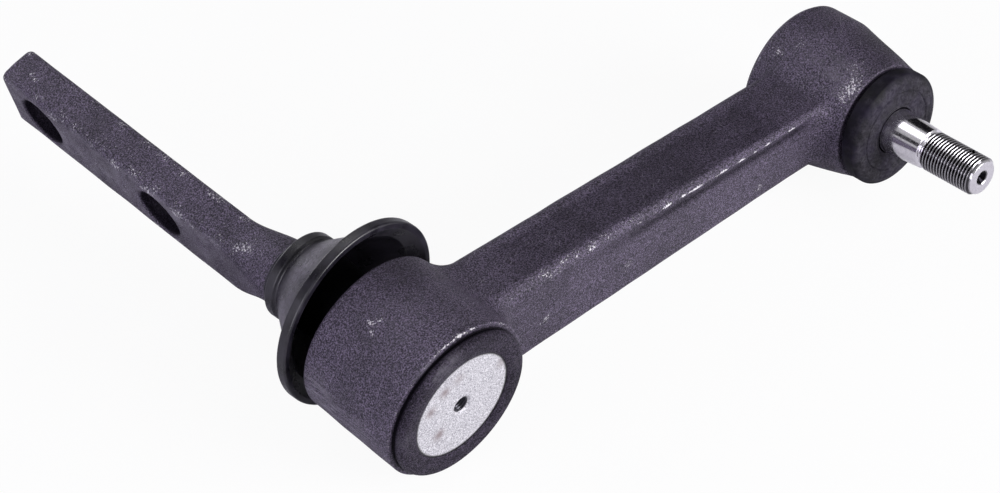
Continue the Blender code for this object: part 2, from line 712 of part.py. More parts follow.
def pivot_boot():
    """The flared boot: a collar on the post, a groove, a cone, and a thick lip with an inner bead."""
    grip = POST_RADIUS + RUN_GAP + 1.2 * BOOT_COLLAR_LENGTH * math.tan(BOOT_SKEW)
    cone_start = -BOOT_COLLAR_LENGTH - BOOT_GROOVE_DEPTH
    lip_back = BOOT_LIP_THICKNESS - BOOT_LENGTH
    neck = BOOT_COLLAR_RADIUS - BOOT_GROOVE_DEPTH
    corners = [
        (BOOT_COLLAR_RADIUS, 0.0, 0.0008),
        (BOOT_COLLAR_RADIUS, -BOOT_COLLAR_LENGTH, 0.0006),
        (neck, cone_start, 0),
        (BOOT_COLLAR_RADIUS + 0.0006, 1.6 * cone_start, 0.0030),
        (BOOT_CONE_RADIUS, lip_back + 0.0006, 0),
        (BOOT_LIP_RADIUS, lip_back, 0.0008),
        (BOOT_LIP_RADIUS, -BOOT_LENGTH, 0.0008),
        (BOOT_LIP_RADIUS - BOOT_WALL, -BOOT_LENGTH, 0.0006),
        (BOOT_CONE_RADIUS - BOOT_WALL / 2, lip_back, 0),
        (grip + BOOT_WALL / 2, 1.8 * cone_start, 0.0030),
        (grip, 1.2 * cone_start, 0),
        (grip, 0.0, 0),
    ]
    return turned("pivot_boot", corners, closed=True, steps=FINE_TURN, count=2)


def stud_radius(depth):
    """Radius of the stud's taper at a distance from the ball's centre."""
    share = (depth - TAPER_START) / (THREAD_START - TAPER_START)
    return STUD_COLLAR_RADIUS + share * (TAPER_END_RADIUS - STUD_COLLAR_RADIUS)


def ball_stud(parts, cutters, socket, material):
    """Ball, neck, taper, thread relief, thread blank and drilled end, turned in one, with a cotter hole."""
    corners = []
    neck_angle = math.asin(STUD_NECK_RADIUS / BALL_RADIUS)
    ball_steps = 12
    flat_angle = math.radians(14)
    corners.append((0.0, BALL_RADIUS * math.cos(flat_angle), 0))
    for step in range(ball_steps + 1):
        angle = flat_angle + (math.pi - neck_angle - flat_angle) * step / ball_steps
        corners.append((BALL_RADIUS * math.sin(angle), BALL_RADIUS * math.cos(angle), 0))
    relief = THREAD_START - 0.0016
    corners += [
        (STUD_NECK_RADIUS, -STUD_COLLAR_START + 0.002, 0),
        (STUD_COLLAR_RADIUS, -STUD_COLLAR_START, 0),
        (STUD_COLLAR_RADIUS, -TAPER_START, 0),
        (stud_radius(relief), -relief, 0),
        (THREAD_ROOT_RADIUS, -relief - 0.0006, 0),
        (THREAD_ROOT_RADIUS, -THREAD_START, 0),
        (THREAD_RADIUS, -THREAD_START - 0.0008, 0),
        (THREAD_RADIUS, -STUD_END + STUD_END_CHAMFER, 0),
        (THREAD_RADIUS - STUD_END_CHAMFER, -STUD_END, 0),
        (CENTRE_DRILL_RADIUS, -STUD_END, 0),
        (0.0, -STUD_END + CENTRE_DRILL_DEPTH, 0),
    ]
    made = place(turned("ball_stud", corners, steps=PLAIN_TURN), parts, socket, material)
    bpy.ops.mesh.primitive_cylinder_add(vertices=16, radius=COTTER_HOLE_RADIUS, depth=4 * THREAD_RADIUS)
    drill = bpy.context.active_object
    drill.name = "cotter_hole"
    for holder in list(drill.users_collection):
        holder.objects.unlink(drill)
    as_cutter(place(drill, cutters, socket))
    drill.matrix_local = Matrix.Translation((0.0, 0.0, COTTER_HOLE_MARGIN - STUD_END)) @ Matrix.Rotation(
        math.radians(90), 4, "Y"
    )
    boolean(made, drill, "DIFFERENCE")
    return made


def seat_arc(start, end, radius, steps):
    """Profile points on the ball's seat between two distances along the socket's axis."""
    points = []
    for step in range(steps + 1):
        along = start + (end - start) * step / steps
        points.append((math.sqrt(radius * radius - along * along), along, 0))
    return points


def ball_seat_front():
    """The seat ring between the ball and the socket's throat."""
    outer = SOCKET_BORE_RADIUS - SEAT_GAP
    start = SEAT_BORE_START + SEAT_GAP
    corners = [(outer, -SEAT_SPLIT, 0), (outer, start, 0)]
    corners += seat_arc(start, -SEAT_SPLIT, BALL_RADIUS + RUN_GAP, 6)
    return turned("ball_seat_front", corners, closed=True)


def ball_seat_rear():
    """The cup that presses on the back of the ball, with a grease hole through it."""
    outer = SOCKET_BORE_RADIUS - RUN_GAP
    deepest = math.sqrt((BALL_RADIUS + RUN_GAP) ** 2 - REAR_SEAT_HOLE**2)
    corners = [
        (REAR_SEAT_HOLE, REAR_SEAT_END, 0),
        (outer - 0.001, REAR_SEAT_END, 0),
        (outer, REAR_SEAT_END - 0.001, 0),
        (outer, SEAT_SPLIT, 0),
    ]
    corners += seat_arc(SEAT_SPLIT, deepest, BALL_RADIUS + RUN_GAP, 7)
    return turned("ball_seat_rear", corners, closed=True)


def socket_spring():
    """The spring washer between the rear seat and the socket's cover."""
    outer = SOCKET_BORE_RADIUS - RUN_GAP
    start = SOCKET_SPRING_START
    corners = [
        (outer, start + SOCKET_SPRING_DISH + SOCKET_SPRING_THICKNESS, 0),
        (outer, start + SOCKET_SPRING_DISH, 0),
        (SOCKET_SPRING_BORE, start, 0),
        (SOCKET_SPRING_BORE, start + SOCKET_SPRING_THICKNESS, 0),
    ]
    return turned("socket_spring", corners, closed=True)


def socket_cover():
    """The plate that closes the back of the socket, with its threaded grease hole."""
    hole = GREASE_HOLE_RADIUS
    corners = [
        (hole + GREASE_HOLE_CHAMFER, SOCKET_COVER_END, 0),
        (SOCKET_COVER_RADIUS, SOCKET_COVER_END, 0),
        (SOCKET_COVER_RADIUS, SOCKET_COVER_START, 0),
        (hole, SOCKET_COVER_START, 0),
        (hole, SOCKET_COVER_END - GREASE_HOLE_CHAMFER, 0),
    ]
    return turned("socket_cover", corners, closed=True)


def stud_seal():
    """The dust seal: a grooved flange on the housing, a chamfer, and a front that closes on the stud."""
    back = -SOCKET_FRONT - RUN_GAP
    front = back - SEAL_THICKNESS
    hold = STUD_COLLAR_RADIUS + 2 * RUN_GAP
    groove = SEAL_RADIUS - SEAL_GROOVE_DEPTH
    chamfer = SEAL_RADIUS - SEAL_FRONT_RADIUS
    corners = [
        (groove, back, 0),
        (groove, back - SEAL_GROOVE_WIDTH, 0),
        (SEAL_RADIUS, back - SEAL_GROOVE_WIDTH, 0.0005),
        (SEAL_RADIUS, front + chamfer / 2, 0.0008),
        (SEAL_FRONT_RADIUS, front, 0.0006),
        (hold, front, 0.0005),
        (hold, front + SEAL_WALL, 0),
        (SOCKET_MOUTH_RADIUS + 0.001, back - SEAL_WALL / 2, 0),
        (SOCKET_MOUTH_RADIUS + 0.001, back, 0),
    ]
    return turned("stud_seal", corners, closed=True, steps=FINE_TURN, count=2)


def points_of(thing):
    """World positions of an object's finished vertices."""
    graph = bpy.context.evaluated_depsgraph_get()
    finished = thing.evaluated_get(graph)
    mesh = finished.to_mesh()
    flat = np.empty(len(mesh.vertices) * 3, np.float32)
    mesh.vertices.foreach_get("co", flat)
    finished.to_mesh_clear()
    matrix = np.array(thing.matrix_world, np.float64)
    return flat.reshape(-1, 3) @ matrix[:3, :3].T + matrix[:3, 3]


def resting_normal(arm_points, boot_points):
    """The floor's normal when the part lies on the barrel's cover end, the boot's lip and the socket.

    The floor is the plane through the lowest point of each of the three, found again until it stays.
    """
    at_barrel = arm_points[arm_points[:, 0] < ARM_LENGTH / 2]
    at_socket = arm_points[arm_points[:, 0] >= ARM_LENGTH / 2]
    normal = np.array((0.0, 0.0, 1.0))
    for _ in range(20):
        low = [group[np.argmin(group @ normal)] for group in (at_barrel, boot_points, at_socket)]
        normal = np.cross(low[1] - low[0], low[2] - low[0])
        normal *= math.copysign(1.0, normal[2]) / np.linalg.norm(normal)
    return Vector(normal)


def lay_down(root, parts):
    """Turn the assembly so that it rests, and put the middle of its base at the origin."""
    bpy.context.view_layer.update()
    normal = resting_normal(points_of(parts["arm_forging"]), points_of(parts["pivot_boot"]))
    turn = normal.rotation_difference(Vector((0.0, 0.0, 1.0))).to_matrix().to_4x4()
    root.matrix_world = turn
    bpy.context.view_layer.update()
    every = np.vstack([points_of(piece) for piece in parts.values()])
    low, high = every.min(axis=0), every.max(axis=0)
    base = Vector(((low[0] + high[0]) / 2, (low[1] + high[1]) / 2, low[2]))
    root.matrix_world = Matrix.Translation(-base) @ turn
    bpy.context.view_layer.update()


def main():
    clear_scene()
    collection = new_collection("idler_arm")
    cutters = new_collection("cutters")
    forged = new_material("forged_steel", (0.050, 0.044, 0.062), 0.55, 0.6)
    machined = new_material("bright_steel", (0.62, 0.61, 0.63), 0.25, 1.0)
    plated = new_material("plated_cover", (0.74, 0.74, 0.77), 0.42, 0.7)
    rubber = new_material("black_rubber", (0.020, 0.018, 0.022), 0.55, 0.0)
    bearing = new_material("bearing_metal", (0.30, 0.26, 0.20), 0.45, 1.0)
    spring = new_material("spring_steel", (0.24, 0.24, 0.26), 0.35, 1.0)

    root = new_empty("resting_assembly", collection)
    along_y = Matrix.Rotation(math.radians(-90), 4, "X")
    pivot = new_empty("pivot_axis", collection, root, along_y)
    ball_centre = Matrix.Translation((ARM_LENGTH, BALL_CENTRE_DEPTH, 0.0))
    lean = Euler((math.radians(-SOCKET_LEAN_DOWN_DEG), 0.0, math.radians(-SOCKET_LEAN_SIDE_DEG))).to_matrix()
    socket = new_empty("socket_axis", collection, root, ball_centre @ lean.to_4x4() @ along_y)
    skew = Euler((math.radians(-BOOT_SKEW_DOWN_DEG), 0.0, math.radians(BOOT_SKEW_SIDE_DEG))).to_matrix()
    boot_place = Matrix.Translation((0.0, BOOT_BACK, 0.0)) @ skew.to_4x4() @ along_y
    boot_axis = new_empty("boot_axis", collection, root, boot_place)

    parts = {
        "arm_forging": arm_forging(collection, cutters, root, pivot, socket, forged),
        "idler_bracket": idler_bracket(collection, cutters, root, pivot, forged),
        "ball_stud": ball_stud(collection, cutters, socket, machined),
    }
    turned_pieces = (
        (pivot_cover(), pivot, plated),
        (pivot_spring(), pivot, spring),
        (pivot_thrust_plate(), pivot, bearing),
        (pivot_front_bearing(), pivot, bearing),
        (pivot_rear_bushing(), pivot, bearing),
        (pivot_grease_seal(), pivot, rubber),
        (pivot_boot(), boot_axis, rubber),
        (ball_seat_front(), socket, bearing),
        (ball_seat_rear(), socket, bearing),
        (socket_spring(), socket, spring),
        (socket_cover(), socket, plated),
        (stud_seal(), socket, rubber),
    )
    for piece, parent, material in turned_pieces:
        parts[piece.name] = place(piece, collection, parent, material)
    for piece in parts.values():
        smooth(piece)
    lay_down(root, parts)


main()
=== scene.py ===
"""Visual model of a steering idler arm that lies on a pale floor.

The arm is one forging with a pivot barrel and a ball socket. A booted bracket turns in the barrel, and a
ball stud in the socket. Sizes are in millimetres in the assembly frame and are placed in metres. The assembly
frame has the pivot's axis along Y, from the cover at 0 to the bracket's bar, and the arm along X from the
pivot to the ball.
"""

from __future__ import annotations

import json
import logging
import math
from dataclasses import dataclass, field
from enum import Enum
from typing import NamedTuple

import bmesh
import bpy
import numpy as np
from mathutils import Matrix

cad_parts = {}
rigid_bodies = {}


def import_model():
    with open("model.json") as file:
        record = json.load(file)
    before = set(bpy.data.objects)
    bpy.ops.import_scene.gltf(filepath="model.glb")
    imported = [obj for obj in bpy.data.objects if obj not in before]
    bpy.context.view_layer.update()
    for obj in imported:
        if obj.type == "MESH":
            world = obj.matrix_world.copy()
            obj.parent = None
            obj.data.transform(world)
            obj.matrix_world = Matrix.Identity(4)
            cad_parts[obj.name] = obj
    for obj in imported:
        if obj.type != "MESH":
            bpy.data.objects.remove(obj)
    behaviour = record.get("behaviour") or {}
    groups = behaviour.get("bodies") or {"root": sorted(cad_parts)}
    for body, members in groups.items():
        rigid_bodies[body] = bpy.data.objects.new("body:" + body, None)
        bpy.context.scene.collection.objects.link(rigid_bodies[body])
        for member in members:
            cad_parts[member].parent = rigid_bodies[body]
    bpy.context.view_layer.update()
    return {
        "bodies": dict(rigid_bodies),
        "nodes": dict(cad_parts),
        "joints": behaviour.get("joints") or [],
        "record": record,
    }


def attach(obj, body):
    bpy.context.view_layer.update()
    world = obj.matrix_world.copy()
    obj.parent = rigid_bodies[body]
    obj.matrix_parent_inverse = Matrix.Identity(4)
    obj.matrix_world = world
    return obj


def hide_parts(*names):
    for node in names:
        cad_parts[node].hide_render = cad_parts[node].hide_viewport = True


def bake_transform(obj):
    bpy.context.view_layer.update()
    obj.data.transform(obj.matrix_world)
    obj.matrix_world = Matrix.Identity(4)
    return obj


log = logging.getLogger("idler_arm")

Array = np.ndarray
Marks = dict[str, np.ndarray]
Material = bpy.types.Material
Node = bpy.types.Node
Piece = bpy.types.Object
Point = tuple[float, float, float]
Socket = bpy.types.NodeSocket
Span = tuple[float, float]
Tree = bpy.types.NodeTree

MILLIMETRE = 0.001  # in metres
MERGE_DISTANCE = 0.000002  # in metres: points of a surface that are closer become one
SHARP_ANGLE = math.radians(48)  # edges of a surface that turn by more stay sharp
SHARP_CUT_ANGLE = math.radians(42)  # the same, on a piece with holes cut
BORE_EDGE = 0.3  # how far a bore's painted shade reaches past its wall
NO_RADIUS = 1e-6  # keeps the axis's own points out of a division by their radius
PIVOT_JOINT_DEPTH = 30.0  # of the pivot's joint, from the cover end


class Body(Enum):
    """The moving bodies of the model."""

    ARM = "arm"
    BRACKET = "bracket"
    REAR_SEAT = "rear_seat"
    SEAL = "seal"
    STUD = "stud"


class Slot(Enum):
    """The record's material slots."""

    FORGED = "forged_steel"
    BRIGHT = "bright_steel"
    PLATED = "plated_cover"
    RUBBER = "black_rubber"


# Frames and surfaces


def unit(vector: Array) -> Array:
    """The vector at a length of one."""
    return vector / np.linalg.norm(vector)


@dataclass(frozen=True)
class Frame:
    """An origin in metres and three unit directions, in which sizes are in millimetres."""

    origin: Array
    x: Array
    y: Array
    z: Array

    def place(self, points: Array) -> Array:
        """World positions in metres of points in millimetres."""
        return self.origin + MILLIMETRE * points @ np.stack((self.x, self.y, self.z))

    def turned(self, point: Point, direction: Point) -> Frame:
        """A frame for a turned piece: Z runs along a direction of this frame, and X stays near its X.

        Args:
            point: The new origin, in millimetres in this frame.
            direction: The new Z direction in this frame.

        Returns:
            The new frame.
        """
        axes = np.stack((self.x, self.y, self.z))
        z = unit(np.array(direction, float) @ axes)
        x = unit(self.x - z * (self.x @ z))
        return Frame(self.place(np.array(point, float)), x, np.cross(z, x), z)

    @classmethod
    def of_assembly(cls, joints: list[dict], pivot_depth: float) -> Frame:
        """The assembly frame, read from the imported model's joints.

        Args:
            joints: The record's joints.
            pivot_depth: How far along the pivot its joint is placed, in millimetres.

        Returns:
            The frame with Y along the pivot and X towards the ball.
        """
        named = {joint["name"]: joint for joint in joints}
        y = unit(np.array(named["bracket_pivot"]["axis"]))
        origin = np.array(named["bracket_pivot"]["pos_m"]) - MILLIMETRE * pivot_depth * y
        reach = np.array(named["seat_turn"]["pos_m"]) - origin
        x = unit(reach - y * (reach @ y))
        return cls(origin, x, y, np.cross(x, y))


def add_object(name: str, data: bpy.types.ID) -> Piece:
    """Add an object to the scene.

    Args:
        name: The object's name.
        data: Its mesh, light or camera.

    Returns:
        The object.
    """
    added = bpy.data.objects.new(name, data)
    bpy.context.scene.collection.objects.link(added)
    return added


def quads(rows: int, columns: int) -> Array:
    """Corner numbers of the quads of a grid whose columns close round.

    Args:
        rows: Number of rows.
        columns: Number of columns.

    Returns:
        Four corner numbers for each quad.
    """
    row = np.arange(rows - 1)[:, None] * columns
    column = np.arange(columns)[None, :]
    after = (column + 1) % columns
    corners = (row + column, row + after, row + columns + after, row + columns + column)
    return np.stack(np.broadcast_arrays(*corners), axis=-1).reshape(-1, 4)


def surface(name: str, grid: Array, ring: bool = False, marks: Marks | None = None) -> Piece:
    """Make a closed piece from a grid of world points whose columns close round.

    The rows run along the piece. A ring's last row joins its first, and any other piece is closed with a cap
    at each end, or by the pole that its end row has shrunk to.

    Args:
        name: The piece's name.
        grid: Points in metres, rows by columns by three.
        ring: Whether the rows close round too.
        marks: Values for each point, by name, that the piece's material reads.

    Returns:
        The new object.
    """
    marks = marks or {}
    if ring:
        grid = np.concatenate((grid, grid[:1]))
        marks = {key: np.concatenate((value, value[:1])) for key, value in marks.items()}
    rows, columns = grid.shape[:2]
    faces = quads(rows, columns)
    mesh = bpy.data.meshes.new(name)
    mesh.vertices.add(rows * columns)
    mesh.vertices.foreach_set("co", grid.astype(np.float32).ravel())
    mesh.loops.add(faces.size)
    mesh.loops.foreach_set("vertex_index", faces.astype(np.int32).ravel())
    mesh.polygons.add(len(faces))
    mesh.polygons.foreach_set("loop_start", np.arange(0, faces.size, 4, dtype=np.int32))
    for key, value in marks.items():
        layer = mesh.attributes.new(key, "FLOAT", "POINT")
        layer.data.foreach_set("value", np.broadcast_to(value, (rows, columns)).astype(np.float32).ravel())
    mesh.update(calc_edges=True)
    skin = bmesh.new()
    skin.from_mesh(mesh)
    bmesh.ops.remove_doubles(skin, verts=skin.verts, dist=MERGE_DISTANCE)
    if not ring:
        bmesh.ops.holes_fill(skin, edges=skin.edges, sides=0)
    bmesh.ops.recalc_face_normals(skin, faces=skin.faces)
    skin.to_mesh(mesh)
    skin.free()
    mesh.shade_smooth()
    mesh.set_sharp_from_angle(angle=SHARP_ANGLE)
    return add_object(name, mesh)


def arc(before: Array, corner: Array, after: Array, radius: float, count: int) -> Array:
    """Points that round a corner: an arc that touches both sides, with a support point before and after it.

    Args:
        before: The corner before this one.
        corner: The corner to round.
        after: The corner after it.
        radius: The arc's radius.
        count: Number of the arc's points.

    Returns:
        The points in order.
    """
    first, second = unit(before - corner), unit(after - corner)
    half = math.acos(np.clip(first @ second, -1.0, 1.0)) / 2
    reach = radius / math.tan(half)
    centre = corner + unit(first + second) * radius / math.sin(half)
    start, end = corner + first * reach - centre, corner + second * reach - centre
    sweep = math.pi - 2 * half
    share = np.linspace(0.0, 1.0, count)[:, None]
    curve = centre + (start * np.sin((1 - share) * sweep) + end * np.sin(share * sweep)) / math.sin(sweep)
    support = 0.25 * radius
    return np.vstack((corner + first * (reach + support), curve, corner + second * (reach + support)))


def profile(corners: list[Point], ring: bool = False, count: int = 6) -> Array:
    """Radii and heights of a turned outline, with each corner rounded by its own radius.

    Args:
        corners: Radius, height and rounding of each corner, in order.
        ring: Whether the outline is closed and stands clear of the axis.
        count: Points in each rounding.

    Returns:
        The outline's points, two numbers each.
    """
    flat = np.array([corner[:2] for corner in corners], float)
    parts = []
    for index, (_, _, rounding) in enumerate(corners):
        inner = ring or 0 < index < len(corners) - 1
        if rounding and inner:
            parts.append(arc(flat[index - 1], flat[index], flat[(index + 1) % len(flat)], rounding, count))
        else:
            parts.append(flat[index : index + 1])
    return np.vstack(parts)


def spread(points: Array, step: float) -> Array:
    """The same outline with points added evenly between its own.

    Args:
        points: The outline.
        step: The longest distance between two points that is left.

    Returns:
        The outline's points in order.
    """
    gaps = np.linalg.norm(np.diff(points, axis=0), axis=1)
    counts = np.maximum(np.ceil(gaps / step).astype(int), 1)
    start = np.repeat(np.arange(len(gaps)), counts)
    share = np.concatenate([np.arange(count) / count for count in counts])[:, None]
    return np.vstack((points[start] * (1 - share) + points[start + 1] * share, points[-1:]))


def revolve(outline: Array, turns: int = 160) -> Array:
    """Turn an outline about Z: each radius is swept round, and each height is kept.

    Args:
        outline: Radii and heights.
        turns: Number of columns round the axis.

    Returns:
        The grid's points, one row for each point of the outline.
    """
    angle = np.linspace(0.0, 2 * math.pi, turns, endpoint=False)
    radius, height = outline[:, :1], outline[:, 1:]
    return np.stack((radius * np.cos(angle), radius * np.sin(angle), height + 0 * angle), axis=-1)


def rounded_box(
    half_width: Array, half_height: Array, radii: tuple[Array, ...], shares: Array, flat_steps: int
) -> tuple[Array, Array]:
    """Sections of a box with rounded corners: each corner is an arc, and each side is divided evenly.

    Args:
        half_width: Half the width of each section.
        half_height: Half the height of each section.
        radii: The corners' radii in each section, at +X +Y, at -X +Y, at -X -Y and at +X -Y.
        shares: Where an arc's points lie on it, from 0 to 1.
        flat_steps: Number of points on a side between two arcs.

    Returns:
        Points and outward directions, one row for each section.
    """
    signs = ((1, 1), (-1, 1), (-1, -1), (1, -1))
    centres = [
        np.concatenate((side * (half_width - radius), up * (half_height - radius)), axis=-1)
        for (side, up), radius in zip(signs, radii)
    ]
    step = (np.arange(flat_steps) + 1)[None, :, None] / (flat_steps + 1)
    points, outs = [], []
    for index, (centre, radius) in enumerate(zip(centres, radii)):
        angle = np.radians(90 * (index + shares))
        out = np.stack((np.cos(angle), np.sin(angle)), axis=-1)[None]
        points.append(centre + radius * out)
        outs.append(out + 0 * centre)
        ahead = (index + 1) % 4
        turn = math.radians(90 * (index + 1))
        out = np.array((math.cos(turn), math.sin(turn)))
        start, end = centre + radius * out, centres[ahead] + radii[ahead] * out
        points.append(start * (1 - step) + end * step)
        outs.append(np.broadcast_to(out, points[-1].shape))
    return np.concatenate(points, axis=1), np.concatenate(outs, axis=1)


# Marks: values that a piece's points carry for its material


def waves(points: Array, size: float, seed: int, count: int = 14) -> Array:
    """Smooth irregular values of about -1 to 1.

    They are the sum of sine waves in random directions, divided by the square root of their count.

    Args:
        points: Places in millimetres.
        size: Typical distance between two crests, in millimetres.
        seed: Chooses the directions and phases.
        count: Number of waves.

    Returns:
        One value for each place.
    """
    rng = np.random.default_rng(seed)
    direction = rng.normal(size=(3, count))
    direction *= 2 * math.pi / size / np.linalg.norm(direction, axis=0) * rng.uniform(0.6, 1.5, count)
    phase = rng.uniform(0, 2 * math.pi, count)
    return np.sin(points @ direction + phase).sum(axis=-1) / math.sqrt(count)


def near(value: Array, target: float, width: float) -> Array:
    """A bell that is 1 at the target and falls away over the width."""
    return np.exp(-(((value - target) / width) ** 2))


def ease(value: Array, start: float, end: float) -> Array:
    """A smooth step from 0 at start to 1 at end."""
    share = np.clip((value - start) / (end - start), 0.0, 1.0)
    return share * share * (3 - 2 * share)


def between(value: Array, rise: Span, fall: Span) -> Array:
    """A smooth step up over the rise, times a smooth step down over the fall."""
    return ease(value, *rise) * (1 - ease(value, *fall))


class Spot(NamedTuple):
    """A soft round mark: its middle, its reach and its strength."""

    x: float
    y: float
    z: float
    reach: float
    strength: float


def bells(points: Array, spots: tuple[Spot, ...]) -> Array:
    """Sum of soft spots, each a bell of the distance from its middle.

    Args:
        points: Points of a grid, in millimetres.
        spots: The spots, in the grid's own frame.

    Returns:
        One value for each point.
    """
    total = np.zeros(points.shape[:-1])
    for spot in spots:
        distance = np.linalg.norm(points - np.array(spot[:3]), axis=-1)
        total += spot.strength * near(distance, 0.0, spot.reach)
    return total


@dataclass(frozen=True)
class Patches:
    """An uneven value over a surface: waves of a size swing round a level, between two limits."""

    size: float
    seed: int
    level: float
    swing: float
    limits: Span = (-1.0, 2.0)

    def over(self, points: Array) -> Array:
        """The value at each of a grid's points."""
        return np.clip(self.level + self.swing * waves(points, self.size, self.seed), *self.limits)


@dataclass(frozen=True)
class Stripe:
    """A mark along a loft: its strength, its width in columns, and the spans where it rises and falls."""

    strength: float
    width: float
    rise: Span
    fall: Span

    def over(self, column: Array, middle: float, along: Array) -> Array:
        """The strength times a bell round the middle column, times the rise and the fall along the loft."""
        return self.strength * near(column, middle, self.width) * between(along, self.rise, self.fall)


# Pieces


def cut(piece: Piece, tools: list[Piece]) -> None:
    """Cut tools out of a piece and keep the result as its mesh; the tools are removed.

    Args:
        piece: The piece to cut.
        tools: Closed pieces that leave holes.
    """
    for tool in tools:
        modifier = piece.modifiers.new("cut_" + tool.name, "BOOLEAN")
        modifier.operation = "DIFFERENCE"
        modifier.solver = "EXACT"
        modifier.object = tool
    bpy.context.view_layer.update()
    finished = piece.evaluated_get(bpy.context.evaluated_depsgraph_get())
    mesh = bpy.data.meshes.new_from_object(finished)
    piece.modifiers.clear()
    piece.data = mesh
    mesh.shade_smooth()
    mesh.set_sharp_from_angle(angle=SHARP_CUT_ANGLE)
    for tool in tools:
        bpy.data.objects.remove(tool)


def darken_bore(piece: Piece, middle: Array, way: Array, radius: float) -> None:
    """Raise the mark shade to 1 on a cut piece's points that lie in a bore, as painted shade inside it.

    Args:
        piece: The piece, with its bore cut.
        middle: A place on the bore's axis, in metres.
        way: The axis's direction.
        radius: The bore's radius, in millimetres.
    """
    vertices = piece.data.vertices
    flat = np.empty(3 * len(vertices), np.float32)
    vertices.foreach_get("co", flat)
    distance = np.linalg.norm(np.cross(flat.reshape(-1, 3) - middle, way), axis=1) / MILLIMETRE
    layer = piece.data.attributes["shade"]
    shade = np.empty(len(distance), np.float32)
    layer.data.foreach_get("value", shade)
    dark = 1 - ease(distance, radius, radius + BORE_EDGE)
    layer.data.foreach_set("value", np.maximum(shade, dark).astype(np.float32))


def settle(piece: Piece, body: Body | None, slot: Slot, material: Material, *nodes: str) -> None:
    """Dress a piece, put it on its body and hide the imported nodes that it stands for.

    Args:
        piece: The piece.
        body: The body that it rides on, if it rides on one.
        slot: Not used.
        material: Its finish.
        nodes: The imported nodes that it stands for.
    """
    piece.data.materials.clear()
    piece.data.materials.append(material)
    if body:
        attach(piece, body.value)
    if nodes:
        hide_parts(*nodes)
    log.info("%s: %d faces", piece.name, len(piece.data.polygons))


# Finishes


def linear(code: str) -> tuple[float, float, float, float]:
    """Linear colour of an sRGB hex code.

    Args:
        code: Six hex digits, such as "4a4453".

    Returns:
        Red, green, blue and an alpha of one.
    """
    channel = np.array([int(code[start : start + 2], 16) / 255 for start in (0, 2, 4)])
    value = np.where(channel <= 0.04045, channel / 12.92, ((channel + 0.055) / 1.055) ** 2.4)
    return (*(float(part) for part in value), 1.0)


def add_node(tree: Tree, kind: str, settings: dict | None = None, links: dict | None = None) -> Node:
    """Add a shader node.

    Args:
        tree: The node tree.
        kind: The node's type name.
        settings: Values by the name of a property of the node, or by the name or number of an input.
        links: Sockets, or nodes for their first output, by the name or number of the input that they feed.

    Returns:
        The node.
    """
    node = tree.nodes.new(kind)
    for key, value in (settings or {}).items():
        if isinstance(key, str) and hasattr(node, key):
            setattr(node, key, value)
        else:
            node.inputs[key].default_value = value
    for key, source in (links or {}).items():
        socket = source if isinstance(source, Socket) else source.outputs[0]
        tree.links.new(socket, node.inputs[key])
    return node


def smooth_step(low: float, high: float, strength: float) -> dict:
    """Settings of a Map Range node that rises smoothly from 0 at a low level to the strength at a high one.

    Args:
        low: The level at which it starts.
        high: The level at which it ends.
        strength: Its value there.

    Returns:
        The settings.
    """
    return {"interpolation_type": "SMOOTHSTEP", "From Min": low, "From Max": high, "To Max": strength}


def new_material(name: str) -> tuple[Material, Tree]:
    """A material and its empty node tree.

    Args:
        name: The material's name.

    Returns:
        The material and its tree.
    """
    material = bpy.data.materials.new(name)
    material.use_nodes = True
    material.node_tree.nodes.clear()
    return material, material.node_tree


@dataclass(frozen=True)
class Pattern:
    """Noise on Object coordinates, and the smooth step that picks its patches.

    The size is that of the patches, in millimetres. The step rises from 0 to the strength between a low and a
    high level of the noise.
    """

    size: float
    detail: float
    roughness: float
    low: float
    high: float
    strength: float = 1.0

    def noise(self, tree: Tree) -> Node:
        """Add the plain noise.

        Args:
            tree: The material's node tree.

        Returns:
            The noise's node.
        """
        place = add_node(tree, "ShaderNodeTexCoord").outputs["Object"]
        settings = {"Scale": 1000.0 / self.size, "Detail": self.detail, "Roughness": self.roughness}
        return add_node(tree, "ShaderNodeTexNoise", settings, {"Vector": place})

    def step(self) -> dict:
        """The smooth step's settings."""
        return smooth_step(self.low, self.high, self.strength)

    def patches(self, tree: Tree) -> Node:
        """Add the noise and its smooth step."""
        return add_node(tree, "ShaderNodeMapRange", self.step(), {"Value": self.noise(tree)})


@dataclass(frozen=True)
class Streaks:
    """Noise drawn out along one direction, such as scratches, and the smooth step that picks them.

    The length and width are those of a streak, in millimetres, and the turn about X, Y and Z, in degrees,
    brings X onto its direction.
    """

    length: float
    width: float
    turn: Point
    low: float
    high: float
    strength: float = 1.0

    def add(self, tree: Tree) -> Node:
        """Add the streaks' nodes.

        Args:
            tree: The material's node tree.

        Returns:
            The step's node.
        """
        place = add_node(tree, "ShaderNodeTexCoord").outputs["Object"]
        turns = tuple(math.radians(value) for value in self.turn)
        sizes = (MILLIMETRE * self.length, MILLIMETRE * self.width, MILLIMETRE * self.width)
        settings = {"vector_type": "TEXTURE", "Rotation": turns, "Scale": sizes}
        drawn = add_node(tree, "ShaderNodeMapping", settings, {"Vector": place})
        noise = add_node(tree, "ShaderNodeTexNoise", {"Scale": 1.0, "Detail": 2.0}, {"Vector": drawn})
        step = smooth_step(self.low, self.high, self.strength)
        return add_node(tree, "ShaderNodeMapRange", step, {"Value": noise})


